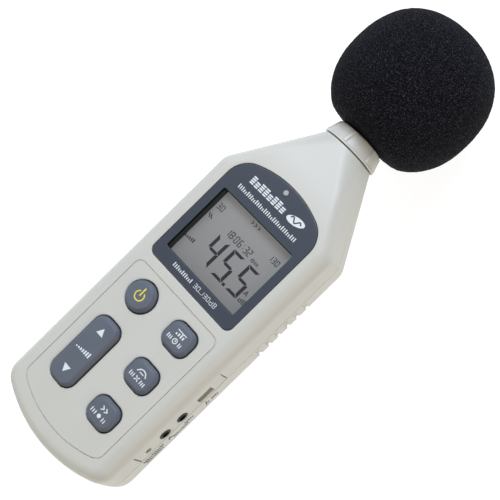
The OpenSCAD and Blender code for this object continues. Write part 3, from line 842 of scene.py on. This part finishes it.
def port_openings():
    """Cutters for the trimmer's hole, the two jacks and the data slot."""
    def slot(grow):
        return rounded_rect(up(DATA_H), PORT_Z, DATA_L + 2 * grow, DATA_W + 2 * grow, 0.4 + grow)

    low = CASE_X - 6
    wall_x = CASE_X - PANEL_DEPTH - (PORT_Z - PARTING_Z) * tan(radians(PANEL_LEAN))
    made = []
    for h, r in ((CAL_H, CAL_HOLE_R), *((h, JACK_HOLE_R) for h in JACK_HEIGHTS)):
        made.append(opening("port", lambda grow, h=h, r=r: circle(up(h), PORT_Z, r + grow, 40),
                            low, 0.2, wall_x, SIDEWAYS))
    return made + [opening("slot", slot, low, 0.15, wall_x, SIDEWAYS)]


def key_opening(outline):
    return opening("key", lambda grow: outline(grow + KEY_GAP), FACE_INSIDE - 1, KEY_RIM)


def make_front_shell():
    """Upper half of the case, with its posts and the openings in the face and the side."""
    shell = combine(case_hull("front_case", 0, 10), half_space(True), "INTERSECT")
    cut(shell, case_hollow())
    boss_low = PARTING_Z + 0.1
    posts = ((SCREW_LOW, FRONT_BOSS_R, boss_low), (SCREW_HIGH, FRONT_BOSS_R, boss_low),
             (BOARD_SCREW_LOW, BOARD_POST_R, BOARD_TOP), (BOARD_SCREW_HIGH, BOARD_POST_R, BOARD_TOP))
    for side in (-1, 1):
        for at, radius, low in posts:
            combine(shell, post(at, side, radius, low, FACE_INSIDE + 0.05), "UNION")
            cut(shell, post(at, side, PILOT_R, low - 1, FACE_INSIDE - 1.5))
    through = (FACE_INSIDE - 1, CASE_T + 1)
    cut(shell,
        parting_groove(),
        opening("recess", lambda grow: bezel_outline(grow + 0.22), CASE_T - 1.4, 0.3),
        loft("window", window_outline, [(2.6, z) for z in through]),
        loft("led", round_outline(0, LED_H, LED_R + 0.2), [(0, z) for z in through]),
        outline_groove(pad_outline, 0.5, 0.42),
        key_opening(power_outline),
        key_opening(rocker_outline))
    for h in KEY_HEIGHTS.values():
        cut(shell, key_opening(small_key_outline(h)))
    cut(shell, port_panel(), *panel_ends(), *port_openings(), neck_bore())
    piece(tidy_mesh(shell), "case", "root", ["front_shell"])


def grip_groove(side, h):
    """Cutter for one grip groove: down the side wall and round the back edge."""
    path = [(side * (CASE_X + 0.1), up(h), PARTING_Z - 1.2 - GRIP_R * 0.2),
            (side * (CASE_X + 0.02), up(h), BACK_ROUND)]
    steps = 12
    for i in range(1, steps + 1):
        a = radians(58) * i / steps
        x = CASE_X - BACK_ROUND + BACK_ROUND * cos(a)
        path.append((side * x, up(h), BACK_ROUND - BACK_ROUND * sin(a)))
    x, y, z = path[-1]
    path.append((x - side * 1.2, y, z - 1.6))
    return sweep("grip", path, GRIP_R)


def make_rear_shell():
    """Lower half of the case, with the battery bay, the screw wells and the grips."""
    shell = combine(case_hull("rear_case", 0, 10), half_space(False), "INTERSECT")
    cut(shell, case_hollow())

    def add_inside(block):
        """Joins a block to the shell, trimmed to the middle of the case wall."""
        combine(block, case_hull("limit", WALL / 2, 3), "INTERSECT")
        combine(shell, block, "UNION")

    wall = 1.5
    add_inside(box("bay", -BAY_X - wall, BAY_X + wall, BAY_H0 - wall, BAY_H1 + wall,
                   1, BAY_ROOF + 1.3))
    combine(shell, post((0, SOCKET_H), 1, SOCKET_BOSS_R, 1, 11), "UNION")
    for side in (-1, 1):
        for at in (SCREW_LOW, SCREW_HIGH):
            add_inside(post(at, side, REAR_BOSS_R, 1, PARTING_Z - 0.1))
    cut(shell,
        parting_groove(),
        loft("door", door_outline, [(0.55, -1), (0.55, -0.01), (0.3, 0.3), (0.3, WALL - 0.1)]),
        box("cells", -BAY_X, BAY_X, BAY_H0, BAY_H1, -1, BAY_ROOF),
        loft("nut", round_outline(0, SOCKET_H, NUT_R), [(0.5, -1), (0.5, -0.01), (0, 0.5), (0, 9)]),
        neck_bore())
    for side in (-1, 1):
        for x, h in (SCREW_LOW, SCREW_HIGH):
            outline = round_outline(side * x, h, SCREW_WELL_R)
            cut(shell,
                loft("screw", outline, [(0.35, -1), (0.35, -0.01), (0, 0.35), (0, 9)]),
                post((x, h), side, SCREW_HOLE_R, -1, PARTING_Z + 1))
        for i in range(GRIP_COUNT):
            cut(shell, grip_groove(side, GRIP_H0 + GRIP_PITCH * i))
    piece(tidy_mesh(shell), "case", "root", ["rear_shell"])


def make_battery_door():
    """Door cut from the case's own hull, with thumb grooves and an arrow."""
    door = case_hull("door_panel", 0, 10)
    profile = [(-0.35, -0.01), (0, 0.35), (0, WALL - 0.3)]
    combine(door, loft("limit", door_outline, profile), "INTERSECT")
    for i in range(5):
        h = DOOR_H1 - 12.5 + 2 * i
        cut(door, sweep("grip", [(x, up(h), 0.05) for x in (-9, 9)], 0.55))
    arrow = [(-3, up(DOOR_H1 - 21)), (3, up(DOOR_H1 - 21)), (0, up(DOOR_H1 - 16.5))]
    cut(door, prism("arrow", rounded(arrow, [0.4] * 3, 4), -1, 0.35))
    piece(tidy_mesh(door), "case", "battery_door", ["battery_door"])


# ---- collar and bezel


def make_collar():
    """Tapered ring with six ribs, a foot flange and the socket for the tube."""
    base, top = 182.5, 190.2
    rib_rise, rib_half, rib_edge = 0.62, 1.05, 0.45
    sides = 288
    profile = [(14, base), (14.15, base + 0.2), (14.15, base + 0.75), (13.95, base + 1),
               (13.62, base + 1.2), (11.75, top - 0.9), (11.5, top - 0.4), (11.1, top - 0.1),
               (10.7, top), (8.6, top), (8.6, top - 2), (6.36, top - 2), (6.36, base - 9.9),
               (10.2, base - 9.9), (10.2, base)]
    points = []
    for radius, h in profile:
        for k in range(sides):
            a = tau * k / sides
            r = radius
            if base + 1 < h and radius > 11:
                off = (degrees(a) - 90 + 30) % 60 - 30
                across = abs(off) * radians(1) * radius
                rib = rib_rise * max(0, min(1, (rib_half - across) / rib_edge))
                r += rib * 0.4 if h > top - 0.3 else rib
            points.append((r * cos(a), up(h), MIC_Z + r * sin(a)))
    collar = ring_solid("collar_ring", points, len(profile), closed=True)
    smooth(collar, 32)
    piece(collar, "collar", "root", ["neck_collar"])


def make_bezel():
    """Bezel plate; the walls of its window are black."""
    low = bezel_low.z
    profile = [(0, low)] + [(-g, z) for g, z in arc_profile(BEZEL_TOP, 0.42)]
    plate = loft("bezel_plate", bezel_outline, profile)
    cut(plate,
        opening("window", window_outline, low - 1, 0.18, BEZEL_TOP),
        opening("led", round_outline(0, LED_H, LED_R + 0.07), low - 1, 0.15, BEZEL_TOP))
    piece(tidy_mesh(plate), "bezel", "root", ["display_bezel"])
    plate.data.materials.append(materials["border"])
    limit = (WINDOW_X + 0.1) * MM
    low_y, high_y = up(WINDOW_H0 - 0.1) * MM, up(WINDOW_H1 + 0.1) * MM
    for face in plate.data.polygons:
        x, y, z = face.center
        if abs(face.normal.z) < 0.3 and abs(x) < limit and low_y < y < high_y:
            face.material_index = 1


def make_window_border():
    """Black sheet under the window's edge, a little wider at the top, so that a thin dark line shows
    along the top of the window.
    """
    top = WINDOW_BACK - 0.01
    border = prism("window_border", window_outline(2), top - 0.04, top)
    height = WINDOW_H1 - WINDOW_H0 - 0.35
    clear = rounded_rect(0, up(WINDOW_H0 + height / 2), 2 * WINDOW_X, height, 0.8)
    cut(border, prism("clear", clear, top - 1, top + 1))
    piece(tidy_mesh(border), "border")


def make_led():
    """Clear dome in the bezel."""
    top = CASE_T + 0.45
    profile = [(0, 27.2)]
    steps = 8
    for i in range(steps):
        a = pi / 2 * i / steps
        profile.append(((1 - LED_R) * (1 - cos(a)), top - 0.7 + 0.7 * sin(a)))
    led = loft("led_dome", round_outline(0, LED_H, LED_R, 32), profile)
    smooth(led, 50)
    piece(led, "led", "root", ["status_led"])


# ---- keys


def key_profile():
    """(grow, level) up a key: flange, wall, chamfer with soft edges, and a barely crowned top."""
    wall_top = CASE_T + 0.7
    crown = 0.05
    edge = KEY_TOP - crown
    return [
        (1.0, FLANGE_TOP - FLANGE_T), (1.0, FLANGE_TOP), (0, FLANGE_TOP), (0, wall_top - 0.3),
        (-0.04, wall_top - 0.08), (-0.14, wall_top + 0.1), (-0.3, wall_top + 0.27),
        (-1.12, edge - 0.24), (-1.26, edge - 0.12), (-1.44, edge - 0.04), (-1.66, edge),
        (-2.6, KEY_TOP - 0.01), (-3.4, KEY_TOP)]


def make_key(node, name, outline, stems):
    key = loft(name, outline, key_profile())
    for x, h in stems:
        stem = prism("stem", circle(x, up(h), 2, 32), STEM_Z, FLANGE_TOP - FLANGE_T + 0.1)
        combine(key, stem, "UNION")
    piece(tidy_mesh(key, 50), "key", node, [node])


def make_keys():
    make_key("power_key", "power_button", power_outline, [POWER_POS])
    x, h = ROCKER_POS
    # the rocker's flange stands out at its sides only, so its outline never grows
    make_key("level_rocker", "rocker_pad", lambda grow: rocker_outline(min(grow, 0)),
             [(x, h - 12), (x, h + 12)])
    for node, height in KEY_HEIGHTS.items():
        make_key(node, node + "_cap", small_key_outline(height), [(KEY_X, height)])


# ---- printed marks


class Marks:
    """Thin flat shapes at one level, drawn round an origin and collected into one mesh."""

    def __init__(self, level, x=0, y=BOTTOM_Y, axes=UPRIGHT, thickness=0.035):
        self.origin = (x, y)
        self.levels = (level, level + thickness)
        self.axes = axes
        self.points = []
        self.faces = []

    def shape(self, outline):
        x, y = self.origin
        count, first = len(outline), len(self.points)
        for level in self.levels:
            self.points += [place(self.axes, x + u, y + v, level) for u, v in outline]
        for k in range(count):
            n = (k + 1) % count
            self.faces.append((first + k, first + n, first + count + n, first + count + k))
        self.faces.append(tuple(first + k for k in reversed(range(count))))
        self.faces.append(tuple(first + count + k for k in range(count)))

    def bar(self, x, y, width, height):
        self.shape(rectangle(x, y, width, height))

    def line(self, points, width):
        """Strip of even width along a path, with mitred corners."""
        path = [Vector(p) for p in points]
        last = len(path) - 1
        left, right = [], []
        for i, p in enumerate(path):
            d0 = (p - path[i - 1] if i > 0 else path[1] - p).normalized()
            d1 = (path[i + 1] - p).normalized() if i < last else d0
            normal = Vector((-(d0 + d1).y, (d0 + d1).x)).normalized()
            reach = width / 2 / max(0.35, normal.dot(Vector((-d0.y, d0.x))))
            left.append(p + normal * reach)
            right.append(p - normal * reach)
        for i in range(last):
            self.shape([right[i], right[i + 1], left[i + 1], left[i]])

    def arc(self, x, y, radius, start, end, width):
        """Part of a ring between two angles in degrees."""
        self.line(arc_points(x, y, radius, start, end, 28), width)

    def make(self, name, finish, slot, body="root"):
        piece(outward(new_object(name, self.points, self.faces)), finish, body)


SEGMENTS = {"0": "abcdef", "1": "bc", "2": "abged", "3": "abgcd", "4": "fgbc", "5": "afgcd",
            "6": "afgedc", "8": "abcdefg"}


def segment_shapes(width, height, upright, level, gap):
    """Corners of the seven segments, with 45-degree mitres and thin gaps between them."""
    middle, half = height / 2, level / 2
    end, tip, inner = 2 * gap, upright * 0.4 + gap, upright + gap
    shapes = {
        "a": [(end, height), (end + level, height - level),
              (width - end - level, height - level), (width - end, height)],
        "f": [(0, height - gap), (0, middle + gap), (upright * 0.35, middle + gap),
              (upright, middle + half + gap), (upright, height - inner)],
        "g": [(tip, middle), (inner, middle - half), (width - inner, middle - half),
              (width - tip, middle), (width - inner, middle + half), (inner, middle + half)],
    }
    for below, above in ("da", "ef"):
        shapes[below] = [(x, height - y) for x, y in shapes[above]]
    for right, left in ("bf", "ce"):
        shapes[right] = [(width - x, y) for x, y in shapes[left]]
    return shapes


def digit(marks, character, x, y, width, height, stroke, slant=0.0, upright=None):
    """Seven-segment numeral with its lower left corner at x, y."""
    shapes = segment_shapes(width, height, upright or stroke, stroke, 0.09 * stroke)
    for name in SEGMENTS[character]:
        marks.shape([(x + u + slant * v, y + v) for u, v in shapes[name]])


def number(marks, text, x, y, width, height, stroke, pitch, slant=0.0):
    for i, character in enumerate(text):
        digit(marks, character, x + pitch * i, y, width, height, stroke, slant)


LETTER_D = [(1, 1), (1, 0), (0, 0), (0, 0.55), (1, 0.55)]
LETTER_B = [(0, 0.5), (0.8, 0.5), (1, 0.62), (1, 0.88), (0.8, 1), (0, 1), (0, 0), (0.8, 0),
            (1, 0.12), (1, 0.38), (0.8, 0.5)]


def decibel(marks, d_x, b_x, y, height, stroke):
    """The unit's two letters, each drawn as one line."""
    for letter, x, width in ((LETTER_D, d_x, 1.3), (LETTER_B, b_x, 1.2)):
        marks.line([(x + width * u, y + height * v) for u, v in letter], stroke)


def level_bars(marks, x, y, width, heights, fill=0.6):
    """Row of upright bars on a common foot, like a level meter, centred on x."""
    pitch = width / len(heights)
    for i, height in enumerate(heights):
        marks.bar(x - width / 2 + pitch * (i + 0.5), y + height / 2, pitch * fill, height)


def code_row(marks, start, count, base, height, pitch, stroke):
    """Row of uneven bars that stand on one line: a mark that spells nothing."""
    for i in range(count):
        tall = height * (1.0, 0.72, 0.88, 0.6, 0.95)[i * 7 % 5]
        marks.bar(start + pitch * (i + 0.5), base + tall / 2, stroke, tall)


def bezel_marks():
    white = Marks(BEZEL_TOP)
    for i, blocks in enumerate((4, 3, 4, 4, 3, 4, 4, 3)):
        for k in range(blocks):
            white.bar(-14.525 + 2.68 * i, 142.74 + k, 2.15, 0.68)
    oval_x, oval_h, tilt = 12.1, 144.3, radians(12)
    oval = [(4.7 * x, 1.95 * y) for x, y in circle(0, 0, 1, 40)]
    white.shape([(oval_x + u * cos(tilt) - v * sin(tilt), oval_h + u * sin(tilt) + v * cos(tilt))
                 for u, v in oval])
    code_row(white, -18.1, 33, 137.4, 2.1, 1.1, 0.5)
    row_h = 94.2
    code_row(white, -13.4, 11, row_h, 2, 1.1, 0.5)
    number(white, "30", 0.3, row_h, 1.5, 2.1, 0.23, 2)
    for i in range(3):
        white.bar(4.25 + 0.65 * i, row_h + 0.15, 0.3, 0.3)
    number(white, "130", 4.9, row_h, 1.4, 2.1, 0.23, 1.95)
    decibel(white, 10.9, 12.95, row_h, 2.1, 0.22)
    white.make("bezel_white_marks", "print", "bezel_plastic")
    dark = Marks(BEZEL_TOP + 0.03)
    steps = [i / 24 for i in range(25)]
    dark.line([(oval_x + 6 * t - 3, oval_h + 0.95 * sin(tau * 1.5 * t)) for t in steps], 0.6)
    dark.make("bezel_oval_wave", "bezel", "bezel_plastic")


def lcd_marks():
    bold = Marks(LCD_TOP, thickness=0.06)
    for character, x in (("4", -10), ("5", -0.4), ("5", 9.25)):
        digit(bold, character, x, 103.4, 6.75, 14.55, 1.3, 0.018, 1.6)
    bold.bar(7.6, 104, 1.4, 1.35)
    bold.make("lcd_reading", "segment", "lcd_panel")
    small = Marks(LCD_TOP, thickness=0.06)
    for text, x, pitch in (("18", -8.7, 2.3), ("06", -3.45, 2.45), ("32", 2.85, 2.2)):
        number(small, text, x, 119.4, 1.75, 3.5, 0.42, pitch, 0.03)
    for x in (-4.1, 2):
        for h in (120.4, 122):
            small.bar(x, h, 0.42, 0.42)
    number(small, "30", -20.4, 124.7, 1.6, 3, 0.36, 2.1, 0.03)
    number(small, "130", 13.4, 124.9, 1.5, 2.9, 0.36, 1.95, 0.03)
    for x in (-20.6, -19.4):
        small.line([(x, 121.4), (x + 1.5, 119.5)], 0.5)
    level_bars(small, -18.6, 106.5, 5.8, [0.8, 1.1, 1.4, 1.7, 2])
    for x in (-3.6, -1.5, 0.6):
        small.line([(x, 132), (x + 1, 131.25), (x, 130.5)], 0.34)
    small.arc(9.3, 119.85, 0.72, 0, 360, 0.34)
    small.line([(9.3, 120.3), (9.3, 119.85), (9.65, 119.85)], 0.24)
    code_row(small, 10.4, 3, 119.1, 1.5, 0.8, 0.4)
    small.line([(16.9, 107.3), (17.75, 109.3), (18.6, 107.3)], 0.42)
    small.bar(17.75, 107.95, 0.9, 0.34)
    decibel(small, 17.2, 19.3, 103.8, 1.9, 0.38)
    small.make("lcd_small_segments", "faint_segment", "lcd_panel")


def lcd_left_shade_strip():
    """Black strip on the liquid crystal along the window's left wall: painted shade where the wall
    shades the panel.
    """
    edge = Marks(LCD_TOP, thickness=0.06)
    # painted shade: a black bar on the panel, in the left wall's shade
    edge.bar(-21.7, (WINDOW_H0 + WINDOW_H1) / 2, 0.85, WINDOW_H1 - WINDOW_H0)
    edge.make("lcd_left_painted_shade", "border", "lcd_panel")


def key_marks(x, h):
    return Marks(KEY_TOP - 0.01, x, up(h))


def power_mark():
    icon = key_marks(*POWER_POS)
    icon.arc(0, 0, 2.28, 122, 418, 0.6)
    icon.bar(0, 2.05, 0.7, 4.2)
    icon.make("power_icon", "yellow", "key_rubber", "power_key")


def rocker_marks():
    marks = key_marks(*ROCKER_POS)
    marks.shape([(-1.95, 9.5), (1.95, 9.5), (0, 12.9)])
    marks.shape([(-2, -9.1), (0, -12.6), (2, -9.1)])
    level_bars(marks, 0, -0.9, 8.8, [0.6, 0.9, 1.2, 1.5, 1.8, 2.1, 2.4])
    marks.make("rocker_marks", "print", "key_rubber", "level_rocker")


def small_key_marks():
    """Two pictograms on each small key, the lower one between short code rows."""
    stroke, low = 0.52, -1.65

    def finish_key(marks, node, inner, outer, right_bars):
        for start, count in ((-outer, 3), (inner, right_bars)):
            code_row(marks, start, count, low - 1, 1.95, (outer - inner) / 3, 0.46)
        marks.make(node + "_marks", "print", "key_rubber", node)

    peak = key_marks(KEY_X, KEY_HEIGHTS["max_key"])
    level_bars(peak, 0, 0.7, 5.2, [0.9, 1.4, 1.9, 1.4], 0.55)
    peak.bar(0, 2.95, 5.4, 0.42)
    peak.arc(0, low, 1.1, 0, 360, 0.42)
    peak.line([(0, -0.95), (0, low), (0.6, low)], 0.34)
    finish_key(peak, "max_key", 1.95, 4.9, 2)

    curves = key_marks(KEY_X, KEY_HEIGHTS["weighting_key"])
    curves.line([(-2.7, 0.8), (-1.4, 2.4), (0, 2.8), (1.4, 2.4), (2.7, 0.8)], stroke)
    curves.bar(0, 1.1, 2.4, 0.45)
    for lean in (-1, 1):
        curves.line([(-1, low - lean), (1, low + lean)], stroke)
    finish_key(curves, "weighting_key", 1.75, 4.8, 3)

    speed = key_marks(KEY_X, KEY_HEIGHTS["response_key"])
    for x in (-1.6, 0.4):
        speed.line([(x, 2.8), (x + 1.2, 1.8), (x, 0.8)], stroke)
    speed.shape(circle(0, low, 0.95, 24))
    finish_key(speed, "response_key", 1.75, 5.2, 2)


def port_marks():
    """Small dark pictograms and codes on the side wall, below each port."""
    marks = Marks(CASE_X, BOTTOM_Y, 0, SIDEWAYS, 0.03)
    for start, count, foot, tall in ((25.5, 12, 14.3, 2.3), (26.2, 10, 11.7, 2.2),
                                     (42.4, 9, 12, 1.9), (50.2, 5, 14.1, 2.1),
                                     (65.6, 4, 12.8, 2.2)):
        code_row(marks, start, count, foot, tall, 1, 0.62)
    marks.line([(40.3, 14), (41.5, 16.4), (42.7, 14)], 0.55)
    marks.bar(41.5, 14.7, 1.6, 0.5)
    marks.line([(62.2, 12.3), (63.4, 16.5)], 0.55)
    marks.line([(63, 13.9), (64.6, 14.9)], 0.5)
    marks.bar(63.9, 12.9, 1, 0.6)
    marks.make("port_marks", "dark_print", "case_plastic")


# ---- foam windscreen


def foam_point(direction):
    """Point of the ball's squared ellipsoid in a direction, in millimetres from its centre."""
    across = hypot(direction.x, direction.z)
    size = (across / BALL_R) ** BALL_POWER + (abs(direction.y) / BALL_HALF) ** BALL_POWER
    return direction * size ** (-1 / BALL_POWER)


def make_windscreen():
    """Foam ball: uneven skin, fine cells, and a mouth that is drawn in round the collar."""
    bm = bmesh.new()
    bmesh.ops.create_icosphere(bm, subdivisions=7, radius=1)
    centre = Vector((0.45, up(BALL_H), MIC_Z))
    bore_h0 = 180
    mouth_r, dimple_r, dimple = 13.0, 22.0, 2.2
    for vertex in bm.verts:
        direction = vertex.co.normalized()
        p = foam_point(direction)
        broad = noise.noise(p * 0.045) * 0.32
        pores = noise.noise(p * 1.15) * 0.16 + noise.noise(p * 0.45) * 0.1
        p = p + direction * (broad + pores - 0.25)
        across = hypot(p.x, p.z)
        if p.y < 0 and across < dimple_r:
            t = min(1, (dimple_r - across) / (dimple_r - mouth_r))
            p.y += dimple * t * t * (3 - 2 * t)
        vertex.co = (centre + p) * MM
    ball = object_from(bm, "foam_ball")
    cut(ball, along_mic(BALL_BORE_R, bore_h0, TUBE_END_H + 8.5), along_mic(12.6, bore_h0, 190.8))
    ball.data.shade_smooth()
    ball.data.set_sharp_from_angle(angle=radians(50))
    piece(ball, "foam", "windscreen", ["windscreen"])


# ---- stage, lights and camera


def make_stage():
    """Pale floor: the meter lies on it with its foam ball and the bottom edge of its back."""
    rest_y = up(BACK_ROUND)
    reach = hypot(up(BALL_H) - rest_y, MIC_Z)
    rise = atan2(MIC_Z, up(BALL_H) - rest_y)
    tilt = asin((BALL_R + 0.2) / reach) - rise
    bm = bmesh.new()
    bmesh.ops.create_grid(bm, x_segments=8, y_segments=8, size=4)
    floor = object_from(bm, "floor")
    floor.location = Vector((0, rest_y, 0)) * MM
    floor.rotation_euler = (-tilt, 0, 0)
    floor.data.materials.append(floor_material())


def area_light(name, place_m, size, power, color):
    """Disk light aimed at the middle of the meter."""
    data = bpy.data.lights.new(name, "AREA")
    data.shape = "DISK"
    data.size = size
    data.energy = power
    data.color = color
    light = add_object(name, data)
    light.location = place_m
    aim = Vector((0, 0.03, 0.02)) - Vector(place_m)
    light.rotation_euler = aim.to_track_quat("-Z", "Y").to_euler()


def make_lights():
    world = bpy.data.worlds.new("studio")
    world.use_nodes = True
    set_inputs(world.node_tree.nodes["Background"], {"Color": (1, 1, 1, 1), "Strength": 0.1})
    bpy.context.scene.world = world
    area_light("key", (-0.25, 0.75, 1), 0.7, 14.6, (0.78, 0.85, 1))
    area_light("left", (-0.9, 0.3, 0.8), 0.7, 2.4, (1, 0.93, 0.79))
    area_light("right", (0.9, -0.1, 0.6), 0.7, 4, (1, 0.89, 0.67))
    area_light("low", (-0.5, -0.8, 0.7), 0.7, 3.8, (1, 1, 0.94))
    area_light("end", (-0.3, 1.2, 0.25), 0.5, 2.4, (0.9, 0.95, 1))


def make_camera():
    """Camera above the face, turned 21 degrees to the port side and rolled by 45 degrees."""
    yaw, pitch, roll = (radians(a) for a in (21.0, 0.931, -45.468))
    target = Vector((6.884, 22.361, CASE_T)) * MM
    distance = 468.6 * MM
    turn = (Matrix.Rotation(roll, 3, "Z") @ Matrix.Rotation(pitch, 3, "X")
            @ Matrix.Rotation(-yaw, 3, "Y")).transposed()
    data = bpy.data.cameras.new("camera")
    data.sensor_width = 36
    data.lens = 80.363
    data.clip_start, data.clip_end = 0.01, 20
    camera = add_object("camera", data)
    eye = target + turn @ Vector((0, 0, distance))
    camera.matrix_world = Matrix.Translation(eye) @ turn.to_4x4()
    bpy.context.scene.camera = camera


make_camera()
make_lights()
make_stage()
make_front_shell()
make_rear_shell()
make_battery_door()
make_collar()
make_bezel()
make_window_border()
make_led()
make_keys()
bezel_marks()
lcd_marks()
lcd_left_shade_strip()
power_mark()
rocker_marks()
small_key_marks()
port_marks()
make_windscreen()
bpy.context.scene.view_settings.view_transform = "Standard"
